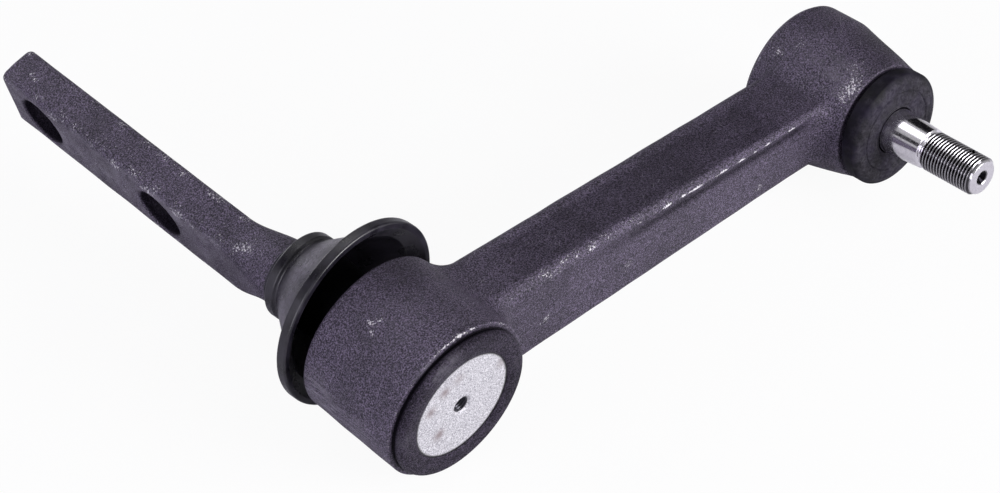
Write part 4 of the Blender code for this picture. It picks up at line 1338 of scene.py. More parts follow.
@dataclass
class Bracket:
    """The forged bracket: a machined post in the barrel, and a neck that drops and flattens into a bar."""

    frame: Frame
    pivot: Frame
    neck_start: float = 86.1
    neck_radius: float = 12.6
    neck_straight: float = 1.0
    neck_drop: float = 3.8
    post_blend: float = 4.0
    post_radius: float = 15.0
    journal_radius: float = 15.5
    journal_start: float = 22.9
    journal_end: float = 47.1
    journal_chamfer: float = 1.5
    head_radius: float = 19.0
    head_front: float = 10.4
    head_rear: float = 13.4
    bar_start: float = 116.6
    tip: float = 239.8
    width: float = 29.8
    thickness: float = 16.1
    corner: float = 3.2
    tip_round: float = 1.4
    drop: float = 12.3
    shift: float = 0.7
    roll: float = 18.7
    splay: float = 1.1
    hole_radius: float = 10.3
    hole_chamfer: float = 0.9
    hole_margin: float = 19.4
    hole_spacing: float = 68.0
    cutter_reach: float = 12.0
    cutter_flare: float = 4.0
    cutter_step: float = 0.8
    cutter_columns: int = 96
    post_columns: int = 120
    dark_margin: float = 0.2
    rows: int = 150
    tip_rows: int = 6
    corner_steps: int = 12
    flat_steps: int = 14
    skin: Patches = Patches(22.0, 12, 0.0, 0.05)
    skin_rise: Span = (100.0, 112.0)
    # Marks are placed by the distance along the bar, and by the section's width and height
    chip: Spot = Spot(237.5, -14.9, 5.5, 3.0, 1.0)
    chip_depth: float = 0.9
    chip_radius: float = 15.0  # where the chip is as deep as it says
    nicks: tuple[Spot, ...] = (
        Spot(104.0, -12.9, 3.5, 3.0, 0.55),
        Spot(108.0, -13.6, 5.0, 2.2, 0.5),
        Spot(229.0, -14.9, 0.5, 1.4, 0.5),
        Spot(149.0, -14.9, -4.3, 1.3, 0.5),
        Spot(203.8, -14.9, 7.7, 1.3, 0.5),
        Spot(226.0, -14.9, 1.5, 1.4, 0.5),
    )
    corner_reach: float = 0.3
    corner_wear: float = 0.34
    even_wear: float = 0.07
    face_wear: float = 0.12
    wear_patches: Patches = Patches(9.0, 35, 0.35, 0.65, (0.0, 1.2))
    wear_rise: Span = (104.0, 118.0)
    # The pale film on the bolting face is painted light: that face is drawn lighter, as the light falls on it
    film_patches: Patches = Patches(12.0, 37, 0.34, 0.22, (0.0, 0.7))
    film_rise: Span = (108.0, 122.0)
    face_rise: Span = (6.5, 8.0)  # heights in the section over which the bolting face begins

    def axes(self) -> tuple[Array, Array, Array]:
        """The bar's directions, from its roll and its splay.

        Returns:
            Along its length, across its width and out of its bolting face.
        """
        roll, splay = math.radians(self.roll), math.radians(self.splay)
        length = np.array((-math.sin(splay), math.cos(splay), 0.0))
        width = np.array((math.sin(roll), 0.0, -math.cos(roll)))
        width = unit(width - length * (width @ length))
        return length, width, np.cross(length, width)

    def centre(self, along: Array) -> Array:
        """The section's middle: it drops by a smooth step from the post to the bar, and the bar splays.

        Args:
            along: Distances along the pivot's axis.

        Returns:
            One place for each distance.
        """
        step = ease(along, self.neck_start + self.neck_straight, self.bar_start)
        splay = math.tan(math.radians(self.splay)) * np.maximum(along - self.bar_start, 0.0)
        drop = self.neck_drop + (self.drop - self.neck_drop) * step
        return np.stack((self.shift * step - splay, along, -drop), axis=-1)

    def bar(self) -> tuple[Array, Marks]:
        """The neck and bar: a circle that eases into a rounded box, with a rounded tip and a chipped corner.

        Returns:
            The grid and its marks.
        """
        body = np.linspace(self.neck_start, self.tip - self.tip_round, self.rows)
        turn = np.linspace(0.0, math.pi / 2, self.tip_rows + 1)[1:]
        along = np.concatenate((body, self.tip - self.tip_round * (1 - np.sin(turn))))
        inset = np.concatenate((0 * body, self.tip_round * (1 - np.cos(turn))))[:, None, None]
        step = ease(along, self.neck_start + self.neck_straight, self.bar_start)[:, None, None]
        half_width = self.neck_radius + step * (self.width / 2 - self.neck_radius) - inset
        half_thickness = self.neck_radius + step * (self.thickness / 2 - self.neck_radius) - inset
        rounding = self.neck_radius + step * (self.corner - self.neck_radius) - inset
        rounding = np.minimum(rounding, np.minimum(half_width, half_thickness))
        shares = np.linspace(0, 1, self.corner_steps)
        flat, _ = rounded_box(half_width, half_thickness, 4 * (rounding,), shares, self.flat_steps)
        _, width, face = self.axes()
        grid = self.centre(along)[:, None, :] + flat[..., :1] * width + flat[..., 1:] * face
        grid = grid + self.skin.over(grid)[..., None] * face * ease(along, *self.skin_rise)[:, None, None]
        place = np.concatenate((flat[..., :1] * 0 + along[:, None, None], flat), axis=-1)
        chip = self.chip_depth * bells(place, (self.chip,))[..., None] / self.chip_radius
        grid = grid - chip * (flat[..., :1] * width + flat[..., 1:] * face)
        past_width = np.abs(flat[..., 0]) - (half_width - rounding)[..., 0]
        past_thickness = np.abs(flat[..., 1]) - (half_thickness - rounding)[..., 0]
        on_corner = (past_width > -self.corner_reach) & (past_thickness > -self.corner_reach)
        patchy = self.wear_patches.over(grid)
        # The bolting face gets flecks of wear and a pale film of painted light
        broad = ease(flat[..., 1], *self.face_rise) * ease(along, *self.film_rise)[:, None]
        wear = self.corner_wear * on_corner * patchy * ease(along, *self.wear_rise)[:, None]
        wear += self.even_wear + bells(place, self.nicks) + self.face_wear * broad * patchy
        return grid, {"wear": wear, "scuff_and_painted_light": broad * self.film_patches.over(grid), "shade": 0 * wear}

    def hole(self, along: float) -> Piece:
        """A cutter for a bolt hole with a chamfer at each face.

        Args:
            along: Where along the pivot's axis the hole lies.

        Returns:
            The cutter.
        """
        length, width, face = self.axes()
        mouth = self.hole_radius + self.hole_chamfer + self.cutter_flare
        outline = profile(
            [
                (0.0, self.cutter_reach, 0),
                (mouth, self.cutter_reach, 0),
                (self.hole_radius, self.thickness / 2 - self.hole_chamfer, 0.4),
                (self.hole_radius, self.hole_chamfer - self.thickness / 2, 0.4),
                (mouth, -self.cutter_reach, 0),
                (0.0, -self.cutter_reach, 0),
            ]
        )
        local = revolve(spread(outline, self.cutter_step), self.cutter_columns)
        middle = self.centre(np.array([along]))[0]
        points = middle + local @ np.stack((length, width, face))
        return surface("bolt_hole_cutter", self.frame.place(points))

    def post(self) -> Array:
        """The machined post's outline: relief, journal, seat cone and head.

        Returns:
            Radii and heights.
        """
        return profile(
            [
                (0.0, self.neck_start + self.post_blend, 0),
                (self.neck_radius - self.neck_drop, self.neck_start + self.post_blend, 0),
                (self.post_radius, self.neck_start, 0.3),
                (self.post_radius, self.journal_end + self.journal_chamfer, 0),
                (self.journal_radius, self.journal_end, 0),
                (self.journal_radius, self.journal_start, 0),
                (self.head_radius, self.head_rear, 0),
                (self.head_radius, self.head_front, 0.7),
                (0.0, self.head_front, 0),
            ]
        )

    def build(self, finishes: Finishes) -> None:
        """Make the bar with its holes, and the post.

        Args:
            finishes: The model's materials.
        """
        grid, marks = self.bar()
        bar = surface("bracket_bar", self.frame.place(grid), marks=marks)
        holes = [self.tip - self.hole_margin, self.tip - self.hole_margin - self.hole_spacing]
        cut(bar, [self.hole(along) for along in holes])
        # Painted shade inside the bolt holes
        way = self.axes()[2] @ np.stack((self.frame.x, self.frame.y, self.frame.z))
        for middle in self.centre(np.array(holes)):
            darken_bore(bar, self.frame.place(middle), way, self.hole_radius + self.dark_margin)
        settle(bar, Body.BRACKET, Slot.FORGED, finishes.forged, "idler_bracket")
        post = surface("bracket_post", self.pivot.place(revolve(self.post(), self.post_columns)))
        settle(post, Body.BRACKET, Slot.FORGED, finishes.spring)


# Cover and boot


@dataclass
class PivotTrim:
    """What closes the pivot: the plated cover with its grease hole, and the rubber boot."""

    frame: Frame
    pivot: Frame
    cover_face: float = 1.0
    cover_thickness: float = 3.0
    cover_radius: float = 23.0
    face_radius: float = 21.1
    rim_drop: float = 0.4
    hole_radius: float = 2.9
    hole_chamfer: Span = (1.2, 0.8)  # across the face and into the hole
    cover_step: float = 0.7
    columns: int = 200
    # Painted shadow of the barrel's lip on the rim, and painted shade in the grease hole's mouth
    rim_shade: float = 0.95
    rim_span: Span = (20.3, 20.9)  # radii over which the painted shadow of the lip darkens the rim
    hole_shade: float = 0.75
    smudges: tuple[Spot, ...] = (
        Spot(-9.3, -12.0, 1.0, 2.0, 0.95),
        Spot(-9.9, 8.0, 1.0, 2.2, 1.0),
        Spot(-15.2, -6.2, 1.0, 2.0, 0.85),
        Spot(-3.1, -14.6, 1.0, 2.2, 0.5),
        Spot(17.5, -9.6, 1.0, 2.4, 0.5),
    )
    thread_pitch: float = 1.0
    thread_depth: float = 0.45
    thread_gap: float = 0.05
    thread_wall: float = 0.2
    thread_start: float = 0.6
    thread_end: float = 5.0  # past the cover's back
    thread_columns: int = 64
    thread_rows: int = 120
    boot_depth: float = 84.6
    boot_axis: Point = (-0.0593, 0.9975, -0.0383)
    collar_radius: float = 17.2
    collar_bore: float = 15.7
    collar_end: float = -3.8
    bore_end: float = -6.0
    lip_radius: float = 36.6
    lip_bore: float = 34.2
    lip_start: float = -25.8
    lip_end: float = -30.0
    # Radius and height of the boot's bends: the waist, then the cone's two ends outside and inside
    waist: Span = (16.1, -5.0)
    cone_foot: Span = (18.0, -7.8)
    cone_mouth: Span = (30.6, -25.2)
    inner_foot: Span = (17.6, -8.6)
    inner_mouth: Span = (29.2, -26.2)
    skirt_step: float = 1.2
    # Painted highlight: a pale film round the middle of the cone's outside, patchy like dust
    highlight_strength: float = 0.90
    highlight_height: float = -14.0
    highlight_reach: float = 5.5
    film_patches: Patches = Patches(14.0, 39, 0.85, 0.25, (0.3, 1.2))
    cone_slope: float = 0.69
    cone_top: float = -8.2
    cone_wall: Span = (17.5, 18.3)

    def cover(self) -> tuple[Array, Marks]:
        """The cover disc as a closed ring round its hole, with a few faint round smudges, painted shadow
        round its rim and painted shade in its hole's mouth.

        Returns:
            The grid and its marks.
        """
        back = self.cover_face + self.cover_thickness
        across, deep = self.hole_chamfer
        outline = profile(
            [
                (self.cover_radius, back, 0),
                (self.cover_radius, self.cover_face + self.rim_drop, 0),
                (self.face_radius, self.cover_face, 0.2),
                (self.hole_radius + across, self.cover_face, 0.15),
                (self.hole_radius, self.cover_face + deep, 0.1),
                (self.hole_radius, back, 0),
            ],
            ring=True,
        )
        grid = revolve(spread(outline, self.cover_step), self.columns)
        radius = np.hypot(grid[..., 0], grid[..., 1])
        rim = self.rim_shade * ease(radius, *self.rim_span)
        hole = self.hole_shade * (1 - ease(radius, self.hole_radius, self.hole_radius + deep))
        return grid, {"stain": bells(grid, self.smudges), "shade": rim + hole}

    def thread(self) -> Array:
        """The grease hole's thread: the bore's radius less a ridge that climbs one pitch in each turn.

        Returns:
            The grid of a tube with the thread inside.
        """
        angle = np.linspace(0, 2 * math.pi, self.thread_columns, endpoint=False)
        end = self.cover_face + self.cover_thickness + self.thread_end
        height = np.linspace(self.cover_face + self.thread_start, end, self.thread_rows)[:, None]
        phase = (height / self.thread_pitch - angle / (2 * math.pi)) % 1.0
        radius = self.hole_radius - self.thread_gap - self.thread_depth * (1 - np.abs(2 * phase - 1))
        inner = np.stack((radius * np.cos(angle), radius * np.sin(angle), height + 0 * angle), axis=-1)
        wall = self.hole_radius + self.thread_wall
        outer = revolve(np.array(((wall, height[-1, 0]), (wall, height[0, 0]))), self.thread_columns)
        return np.concatenate((inner, outer))

    def skirt(self) -> Array:
        """The boot's outline from its collar to its lip and back inside.

        Returns:
            Radii and heights of a closed ring.
        """
        return profile(
            [
                (self.collar_radius, 0.0, 0.9),
                (self.collar_radius, self.collar_end, 0.7),
                (*self.waist, 0.8),
                (*self.cone_foot, 3.0),
                (*self.cone_mouth, 0.6),
                (self.lip_radius, self.lip_start, 0.9),
                (self.lip_radius, self.lip_end, 0.8),
                (self.lip_bore, self.lip_end, 0.7),
                (*self.inner_mouth, 1.5),
                (*self.inner_foot, 3.0),
                (self.collar_bore, self.bore_end, 0.6),
                (self.collar_bore, 0.0, 0.4),
            ],
            ring=True,
        )

    def build(self, finishes: Finishes) -> None:
        """Make the cover, its thread and the boot.

        Args:
            finishes: The model's materials.
        """
        grid, marks = self.cover()
        cover = surface("cover_disc", self.pivot.place(grid), True, marks)
        settle(cover, Body.ARM, Slot.PLATED, finishes.cover, "pivot_cover")
        thread = surface("grease_hole_thread", self.pivot.place(self.thread()), True)
        settle(thread, Body.ARM, Slot.PLATED, finishes.spring)
        grid = revolve(spread(self.skirt(), self.skirt_step), self.columns)
        height = grid[..., 2]
        radius = np.hypot(grid[..., 0], grid[..., 1])
        outside = ease(radius + self.cone_slope * (height - self.cone_top), *self.cone_wall)
        # Painted highlight in a band round the middle of the cone
        film = self.highlight_strength * outside * near(height, self.highlight_height, self.highlight_reach)
        frame = self.frame.turned((0.0, self.boot_depth, 0.0), self.boot_axis)
        boot = surface("boot_skirt", frame.place(grid), True, {"scuff_and_painted_light": film * self.film_patches.over(grid)})
        settle(boot, Body.BRACKET, Slot.RUBBER, finishes.boot, "pivot_boot")


# Ball joint


@dataclass
class BallJoint:
    """The ball stud with its rolled thread, the stepped dust seal and the socket's cover."""

    socket: Frame
    ball_radius: float = 14.0
    neck_radius: float = 8.0
    neck_end: float = 16.5
    collar_start: float = 18.5
    collar_radius: float = 9.5
    taper_start: float = 22.5
    taper_end_radius: float = 8.0
    relief_width: float = 1.6
    relief_depth: float = 0.75
    thread_start: float = 43.7
    thread_radius: float = 7.9
    thread_depth: float = 0.82
    pitch: float = 1.411
    rod_step: float = 0.094
    valley_gain: float = 1.25
    crest_flat: float = 0.12
    # Painted shade over the thread, deepest in its valleys
    crest_shade: float = 0.44
    valley_shade: float = 0.56
    valley_level: float = 0.42
    end: float = 68.2
    end_chamfer: float = 1.2
    centre_depth: float = 2.4
    centre_radius: float = 2.7
    centre_mouth: float = 3.3
    centre_chamfer: float = 0.3
    centre_floor: Span = (1.5, 1.9)  # radius and depth at which the drilled centre turns conical
    # Painted shade in the drilled centre
    centre_shade: float = 0.95
    centre_edge: Span = (2.9, 3.3)
    centre_reach: float = 3.0
    thread_inset: float = 0.1  # of the end's chamfer
    thread_ramp: float = 0.3  # half the slope into the relief
    first_row: float = 0.09  # of the thread, past the end's chamfer
    relief_slope: float = 0.5
    thread_margins: Span = (0.4, 0.2)  # smooth lengths at the stud's end and at the relief
    fade: float = 0.5
    fade_span: Span = (1.3, 0.3)  # distances from the stud's end over which the thread fades
    columns: int = 144
    ball_rows: int = 48
    shank_step: float = 1.5
    cross_radius: float = 1.7
    cross_margin: float = 7.6
    cross_angle: float = -68.0
    cross_reach: float = 12.0
    cross_columns: int = 40
    dark_margin: float = 0.1
    housing_front: float = Beam.housing_front
    seal_gap: float = 0.3
    seal_radius: float = 23.6
    seal_groove: float = 1.6
    seal_front_radius: float = 20.8
    seal_thickness: float = 8.4
    seal_bore: float = 16.0
    seal_groove_depth: float = 1.2
    seal_wall_depth: float = 1.5
    seal_chamfer: float = 1.6
    furrow_radius: float = 16.9
    furrow_half_width: float = 0.5
    furrow_depth: float = 0.5
    mouth_radii: Span = (11.4, 10.6)  # where the front bends in towards the lip
    mouth_depth: float = 0.5
    lip_bore: float = 9.7
    lip_depth: float = 3.4
    lip_edges: Span = (0.3, 0.4)  # how far the lip's wall stays from its two ends
    # The socket's cover: its radius, its back and its front, and its hole with a countersink
    plate_radius: float = 20.6
    plate: Span = (21.6, 19.0)
    plate_hole: float = 2.9
    plate_mouth: float = 3.5
    plate_chamfer: float = 0.6
    # A faint pale film over the seal, and painted light that makes its front face paler than its rim
    seal_face: Span = (24.0, 25.1)  # distances from the ball over which the seal's front begins
    seal_film: float = 0.02
    front_painted_light: float = 0.16
    film_size: float = 5.0
    film_seed: int = 41
    film_swing: float = 0.05
    film_limits: Span = (0.0, 0.3)
    step: float = 1.0
    seal_columns: int = 180
    cover_columns: int = 160

    def stud(self) -> tuple[Array, Marks]:
        """The stud from its drilled end to the ball, with painted shade over its thread, deepest in the
        valleys, and in its drilled centre.

        Along the thread the radius drops by the depth times a triangle wave of the height over the pitch less
        the angle over a full turn, which makes a helix. The wave fades out at the end's chamfer.

        Returns:
            The grid and its marks.
        """
        taper = (self.collar_radius - self.taper_end_radius) / (self.thread_start - self.taper_start)
        relief = self.thread_start - self.relief_width
        relief_radius = self.taper_end_radius + taper * self.relief_width
        groove_radius = self.thread_radius - self.relief_depth
        head = profile(
            [
                (0.0, -self.end + self.centre_depth, 0),
                (self.centre_floor[0], -self.end + self.centre_floor[1], 0.3),
                (self.centre_radius, -self.end + self.centre_chamfer, 0.15),
                (self.centre_mouth, -self.end, 0.15),
                (self.thread_radius - self.end_chamfer, -self.end, 0.2),
                (self.thread_radius - self.thread_inset, -self.end + self.end_chamfer, 0),
            ]
        )
        start = -self.end + self.end_chamfer + self.first_row
        height = np.arange(start, -self.thread_start - self.thread_ramp, self.rod_step)
        rod = np.stack((0 * height + self.thread_radius, height), axis=-1)
        neck_turn = math.pi - math.asin(self.neck_radius / self.ball_radius)
        turn = np.linspace(neck_turn, 0.0, self.ball_rows)
        ball = self.ball_radius * np.stack((np.sin(turn), np.cos(turn)), axis=-1)
        shank = profile(
            [
                (self.thread_radius, -self.thread_start - self.thread_ramp, 0),
                (groove_radius, -self.thread_start + self.thread_ramp, 0.2),
                (groove_radius, -relief - self.relief_slope, 0.3),
                (relief_radius, -relief, 0.15),
                (self.collar_radius, -self.taper_start, 0.2),
                (self.collar_radius, -self.collar_start, 0.3),
                (self.neck_radius, -self.neck_end, 0.5),
                tuple(ball[0]) + (0,),
            ]
        )
        grid = revolve(np.vstack((head, rod, spread(shank, self.shank_step), ball[1:])), self.columns)
        angle = np.linspace(0.0, 2 * math.pi, self.columns, endpoint=False)
        depth = -grid[..., 2]
        outer, inner = self.thread_margins
        on_thread = (depth < self.end - outer) & (depth > self.thread_start + inner)
        phase = (depth / self.pitch - angle / (2 * math.pi)) % 1.0
        valley = np.clip(self.valley_gain * np.abs(2 * phase - 1) - self.crest_flat, 0.0, 1.0)
        fade = 1 - self.fade * ease(depth, self.end - self.fade_span[0], self.end - self.fade_span[1])
        radius = np.hypot(grid[..., 0], grid[..., 1])
        lower = np.where(on_thread, self.thread_depth * valley * fade, 0.0)
        grid[..., :2] *= ((radius - lower) / np.maximum(radius, NO_RADIUS))[..., None]
        dark = self.crest_shade + self.valley_shade * ease(valley, 0.0, self.valley_level)
        centre = (depth > self.end - self.centre_reach) * (1 - ease(radius, *self.centre_edge))
        return grid, {"shade": np.where(on_thread, dark, 0.0) + self.centre_shade * centre}

    def cross_way(self) -> Array:
        """The cross hole's direction, in the socket's frame."""
        lean = math.radians(self.cross_angle)
        return np.array((math.cos(lean), math.sin(lean), 0.0))

    def cross_hole(self) -> Piece:
        """A cutter for the cross hole near the stud's end: two circles, one at each end of its reach.

        Returns:
            The cutter.
        """
        turn = np.linspace(0, 2 * math.pi, self.cross_columns, endpoint=False)
        ring = self.cross_radius * np.stack((0 * turn, np.cos(turn), np.sin(turn)), axis=-1)
        ring = ring - [0, 0, self.end - self.cross_margin]
        way = self.cross_way()
        spin = np.array((way, (-way[1], way[0], 0), (0, 0, 1)))
        reach = [self.cross_reach, 0, 0]
        return surface("cross_hole_cutter", self.socket.place(np.stack((ring - reach, ring + reach)) @ spin))

    def seal(self) -> Array:
        """The dust seal's outline: a groove on the housing, a rim, a chamfer and a front closed on the stud.

        Returns:
            Radii and heights of a closed ring.
        """
        back = -self.housing_front - self.seal_gap
        front = back - self.seal_thickness
        return profile(
            [
                (self.seal_radius - self.seal_groove, back, 0.3),
                (self.seal_radius - self.seal_groove, back - self.seal_groove_depth, 0.3),
                (self.seal_radius, back - self.seal_wall_depth, 0.4),
                (self.seal_radius, front + self.seal_chamfer, 1.1),
                (self.seal_front_radius, front, 0.9),
                (self.furrow_radius + self.furrow_half_width, front, 0.3),
                (self.furrow_radius, front + self.furrow_depth, 0.2),
                (self.furrow_radius - self.furrow_half_width, front, 0.3),
                (self.mouth_radii[0], front, 0.5),
                (self.mouth_radii[1], front + self.mouth_depth, 0.3),
                (self.lip_bore, front + self.lip_edges[0], 0.25),
                (self.lip_bore, front + self.lip_depth - self.lip_edges[1], 0),
                (self.seal_bore, back - self.seal_wall_depth, 0),
                (self.seal_bore, back, 0),
            ],
            ring=True,
        )

    def socket_cover(self) -> Array:
        """The socket cover's outline round its grease hole.

        Returns:
            Radii and heights of a closed ring.
        """
        back, front = self.plate
        return profile(
            [
                (self.plate_mouth, back, 0.1),
                (self.plate_radius, back, 0),
                (self.plate_radius, front, 0),
                (self.plate_hole, front, 0),
                (self.plate_hole, back - self.plate_chamfer, 0.1),
            ],
            ring=True,
        )

    def build(self, finishes: Finishes) -> None:
        """Make the stud, the seal and the socket's cover.

        Args:
            finishes: The model's materials.
        """
        grid, marks = self.stud()
        stud = surface("stud_shank", self.socket.place(grid), marks=marks)
        cut(stud, [self.cross_hole()])
        # Painted shade inside the cross hole
        middle = self.socket.place(np.array((0.0, 0.0, self.cross_margin - self.end)))
        way = self.cross_way() @ np.stack((self.socket.x, self.socket.y, self.socket.z))
        darken_bore(stud, middle, way, self.cross_radius + self.dark_margin)
        settle(stud, Body.STUD, Slot.BRIGHT, finishes.bright, "ball_stud")
        grid = revolve(spread(self.seal(), self.step), self.seal_columns)
        # Painted light on the seal's front face
        face = ease(-grid[..., 2], *self.seal_face)
        swing = self.film_swing * waves(grid, self.film_size, self.film_seed)
        film = np.clip(self.seal_film + self.front_painted_light * face + swing, *self.film_limits)
        seal = surface("seal_ring", self.socket.place(grid), True, {"scuff_and_painted_light": film})
        settle(seal, None, Slot.RUBBER, finishes.seal, "stud_seal")
        back = -self.housing_front - self.seal_gap
        depths = (back, self.lip_depth - self.seal_thickness + back)
        ends = (self.socket.place(np.array((0.0, 0.0, depth))) for depth in depths)
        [tuple(end) for end in ends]
        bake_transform(seal)
        grid = revolve(spread(self.socket_cover(), self.step), self.cover_columns)
        cover = surface("socket_plate", self.socket.place(grid), True)
        settle(cover, Body.ARM, Slot.PLATED, finishes.cover, "socket_cover")


# Studio


class Lamp(NamedTuple):
    """A square soft light that faces the object: place and side in metres, power in watts, and colour."""

    name: str
    place: Point
    size: float
    power: float
    colour: str


class Card(NamedTuple):
    """A square card that only mirrors see: direction from the stud, side in metres, colour and own light."""

    name: str
    way: Point
    size: float
    colour: str
    glow: float


def facing(right: Array, up: Array, back: Array, place: Array) -> Matrix:
    """The matrix of a camera or a lamp.

    Args:
        right: Its direction to the right.
        up: Its direction up.
        back: The direction away from what it faces.
        place: Its place, in metres.

    Returns:
        The matrix.
    """
    matrix = np.eye(4)
    matrix[:3, :3] = np.stack((right, up, back)).T
    matrix[:3, 3] = place
    return Matrix(matrix.tolist())


def sheet(name: str, corners: list[Point], material: Material) -> Piece:
    """Make a flat sheet.

    Args:
        name: The sheet's name.
        corners: Its four corners in turn, in metres.
        material: Its material.

    Returns:
        The object.
    """
    mesh = bpy.data.meshes.new(name)
    mesh.from_pydata(corners, [], [(0, 1, 2, 3)])
    mesh.materials.append(material)
    return add_object(name, mesh)


@dataclass
class Studio:
    """A pale floor, soft lights, cards for the stud's reflections and the camera at the photo's angle.

    The camera's angles, in degrees, its shift, in millimetres along its own axes, and its focal length, in
    pixels of the photo's width, are a fit to the photo.
    """

    frame: Frame
    azimuth: float = -49.573
    elevation: float = 42.203
    roll: float = 7.237
    shift: Point = (-12.214, -54.322, 898.197)
    focal_pixels: float = 2650.084
    width_pixels: float = 1000.0
    sensor: float = 36.0
    clip: Span = (0.05, 10.0)
    floor_reach: float = 3.0
    paper: str = "e9e8ec"
    white: str = "ffffff"
    floor_white: float = 0.94  # share of plain white in what the camera sees; the rest is lit paper
    daylight: str = "dcdbe2"
    daylight_strength: float = 0.20
    mirrored_white: float = 0.40
    lamps: tuple[Lamp, ...] = (
        Lamp("front_softbox", (0.40, -1.25, 0.50), 0.8, 25.0, "ffffff"),
        Lamp("left_softbox", (-1.25, -0.10, 0.42), 0.8, 8.5, "f6f4ff"),
        Lamp("rear_softbox", (-0.20, 1.3, 0.70), 0.8, 8.0, "f6f4ff"),
    )
    cards: tuple[Card, ...] = (
        Card("black_card_right", (0.67, 0.48, 0.56), 0.42, "141316", 0.0),
        Card("black_card_left", (-0.78, 0.48, 0.40), 0.15, "141316", 0.0),
        Card("white_card_above", (-0.15, 0.48, 0.86), 0.26, "ffffff", 1.0),
    )
    card_target: Point = (232.0, -10.0, 0.0)
    card_distance: float = 500.0

    def camera(self) -> None:
        """Place the camera: turned about the assembly, rolled, and moved by the shift along its own axes."""
        angles = (self.azimuth, self.elevation, self.roll)
        azimuth, elevation, roll = (math.radians(value) for value in angles)
        level = math.cos(elevation)
        back = np.array((math.sin(azimuth) * level, -math.cos(azimuth) * level, math.sin(elevation)))
        right = np.array((math.cos(azimuth), math.sin(azimuth), 0.0))
        up = np.cross(back, right)
        right, up = math.cos(roll) * right + math.sin(roll) * up, math.cos(roll) * up - math.sin(roll) * right
        eye = -self.shift[0] * right - self.shift[1] * up + self.shift[2] * back
        data = bpy.data.cameras.new("studio_camera")
        data.sensor_width = self.sensor
        data.lens = self.focal_pixels * self.sensor / self.width_pixels
        data.clip_start, data.clip_end = self.clip
        camera = add_object("studio_camera", data)
        axes = np.stack((right, up, back)) @ np.stack((self.frame.x, self.frame.y, self.frame.z))
        camera.matrix_world = facing(*axes, self.frame.place(eye))
        bpy.context.scene.camera = camera

    def floor(self) -> None:
        """Lay a large pale sheet, whiter to the camera, that keeps the object's shadow."""
        material, tree = new_material("white_paper_sweep")
        path = add_node(tree, "ShaderNodeLightPath").outputs["Is Camera Ray"]
        mixed = {
            0: add_node(tree, "ShaderNodeMath", {"operation": "MULTIPLY", 1: self.floor_white}, {0: path}),
            1: add_node(tree, "ShaderNodeBsdfDiffuse", {"Color": linear(self.paper)}),
            2: add_node(tree, "ShaderNodeEmission", {"Color": linear(self.white), "Strength": 1.0}),
        }
        mix = add_node(tree, "ShaderNodeMixShader", links=mixed)
        add_node(tree, "ShaderNodeOutputMaterial", links={"Surface": mix})
        reach = self.floor_reach
        corners = [(-reach, -reach, 0), (reach, -reach, 0), (reach, reach, 0), (-reach, reach, 0)]
        floor = sheet("studio_floor", corners, material)

    def light(self, lamp: Lamp) -> None:
        """Add a soft light.

        Args:
            lamp: The light.
        """
        data = bpy.data.lights.new(lamp.name, "AREA")
        data.shape = "SQUARE"
        data.size = lamp.size
        data.energy = lamp.power
        data.color = linear(lamp.colour)[:3]
        back = unit(np.array(lamp.place))
        right = unit(np.cross((0.0, 0.0, 1.0), back))
        placed = add_object(lamp.name, data)
        placed.matrix_world = facing(right, np.cross(back, right), back, np.array(lamp.place))

    def card(self, plan: Card) -> None:
        """Add a card that only mirrors see.

        Args:
            plan: The card's place, side and colour.
        """
        middle = self.frame.place(np.array(self.card_target) + self.card_distance * np.array(plan.way))
        back = unit(np.array(plan.way) @ np.stack((self.frame.x, self.frame.y, self.frame.z)))
        right = unit(np.cross((0.0, 0.0, 1.0), back)) * plan.size / 2
        up = np.cross(back, right)
        signs = ((-1, -1), (1, -1), (1, 1), (-1, 1))
        corners = [tuple(middle + side * right + rise * up) for side, rise in signs]
        material, tree = new_material(plan.name)
        colour = linear(plan.colour)
        paint = {"Base Color": colour, "Emission Color": colour, "Emission Strength": plan.glow}
        matt = {"Roughness": 1.0, "Specular IOR Level": 0.0}
        shader = add_node(tree, "ShaderNodeBsdfPrincipled", paint | matt)
        add_node(tree, "ShaderNodeOutputMaterial", links={"Surface": shader})
        card = sheet(plan.name, corners, material)
        card.visible_camera = card.visible_diffuse = card.visible_shadow = False

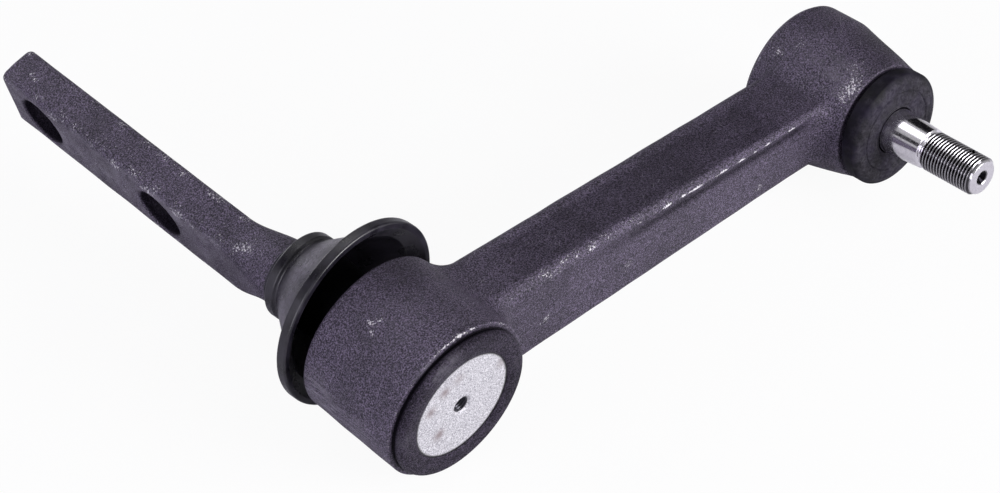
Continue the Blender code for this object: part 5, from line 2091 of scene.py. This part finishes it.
    def world(self) -> None:
        """Make the world white to the camera and partly in reflections, and a dim pale grey as light."""
        world = bpy.data.worlds.new("studio_world")
        bpy.context.scene.world = world
        world.use_nodes = True
        tree = world.node_tree
        tree.nodes.clear()
        path = add_node(tree, "ShaderNodeLightPath").outputs
        straight = {0: path["Is Camera Ray"], 1: path["Is Transmission Ray"]}
        mirrored = {"operation": "MULTIPLY", 1: self.mirrored_white}
        seen = {
            0: add_node(tree, "ShaderNodeMath", {"operation": "MAXIMUM"}, straight),
            1: add_node(tree, "ShaderNodeMath", mirrored, {0: path["Is Glossy Ray"]}),
        }
        daylight = {"Color": linear(self.daylight), "Strength": self.daylight_strength}
        mixed = {
            0: add_node(tree, "ShaderNodeMath", {"operation": "MAXIMUM"}, seen),
            1: add_node(tree, "ShaderNodeBackground", daylight),
            2: add_node(tree, "ShaderNodeBackground", {"Color": linear(self.white), "Strength": 1.0}),
        }
        mix = add_node(tree, "ShaderNodeMixShader", links=mixed)
        add_node(tree, "ShaderNodeOutputWorld", links={"Surface": mix})

    def build(self) -> None:
        """Make the camera, the floor, the world, the lights and the cards."""
        self.camera()
        self.floor()
        self.world()
        for lamp in self.lamps:
            self.light(lamp)
        for card in self.cards:
            self.card(card)
        bpy.context.scene.view_settings.view_transform = "Standard"


def finish_hidden(nodes: dict[str, Piece], finishes: Finishes) -> None:
    """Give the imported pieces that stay, inside the pivot and the socket, their materials.

    Args:
        nodes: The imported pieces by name.
        finishes: The model's materials.
    """
    inside = {
        "pivot_spring": finishes.spring,
        "pivot_thrust_plate": finishes.spring,
        "pivot_front_bearing": finishes.bearing,
        "pivot_rear_bushing": finishes.bearing,
        "pivot_grease_seal": finishes.seal,
        "ball_seat_front": finishes.bearing,
        "ball_seat_rear": finishes.bearing,
        "socket_spring": finishes.spring,
    }
    for name, material in inside.items():
        nodes[name].data.materials.clear()
        nodes[name].data.materials.append(material)


def main() -> None:
    """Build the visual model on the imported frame."""
    logging.basicConfig(level=logging.INFO, format="%(name)s %(message)s")
    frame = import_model()
    assembly = Frame.of_assembly(frame["joints"], PIVOT_JOINT_DEPTH)
    pivot = assembly.turned((0, 0, 0), (0, 1, 0))
    socket_axis = next(joint["axis"] for joint in frame["joints"] if joint["name"] == "seat_turn")
    lean = tuple(float(np.array(socket_axis) @ way) for way in (assembly.x, assembly.y, assembly.z))
    socket = assembly.turned((Beam.length, Beam.ball_depth, 0.0), lean)
    Studio(assembly).build()
    finishes = Finishes()
    Beam(assembly, lean).build(finishes)
    Barrel(pivot).build(finishes)
    Housing(socket).build(finishes)
    Bracket(assembly, pivot).build(finishes)
    PivotTrim(assembly, pivot).build(finishes)
    BallJoint(socket).build(finishes)
    finish_hidden(frame["nodes"], finishes)
    log.info("boxes written")


if __name__ == "__main__":
    main()
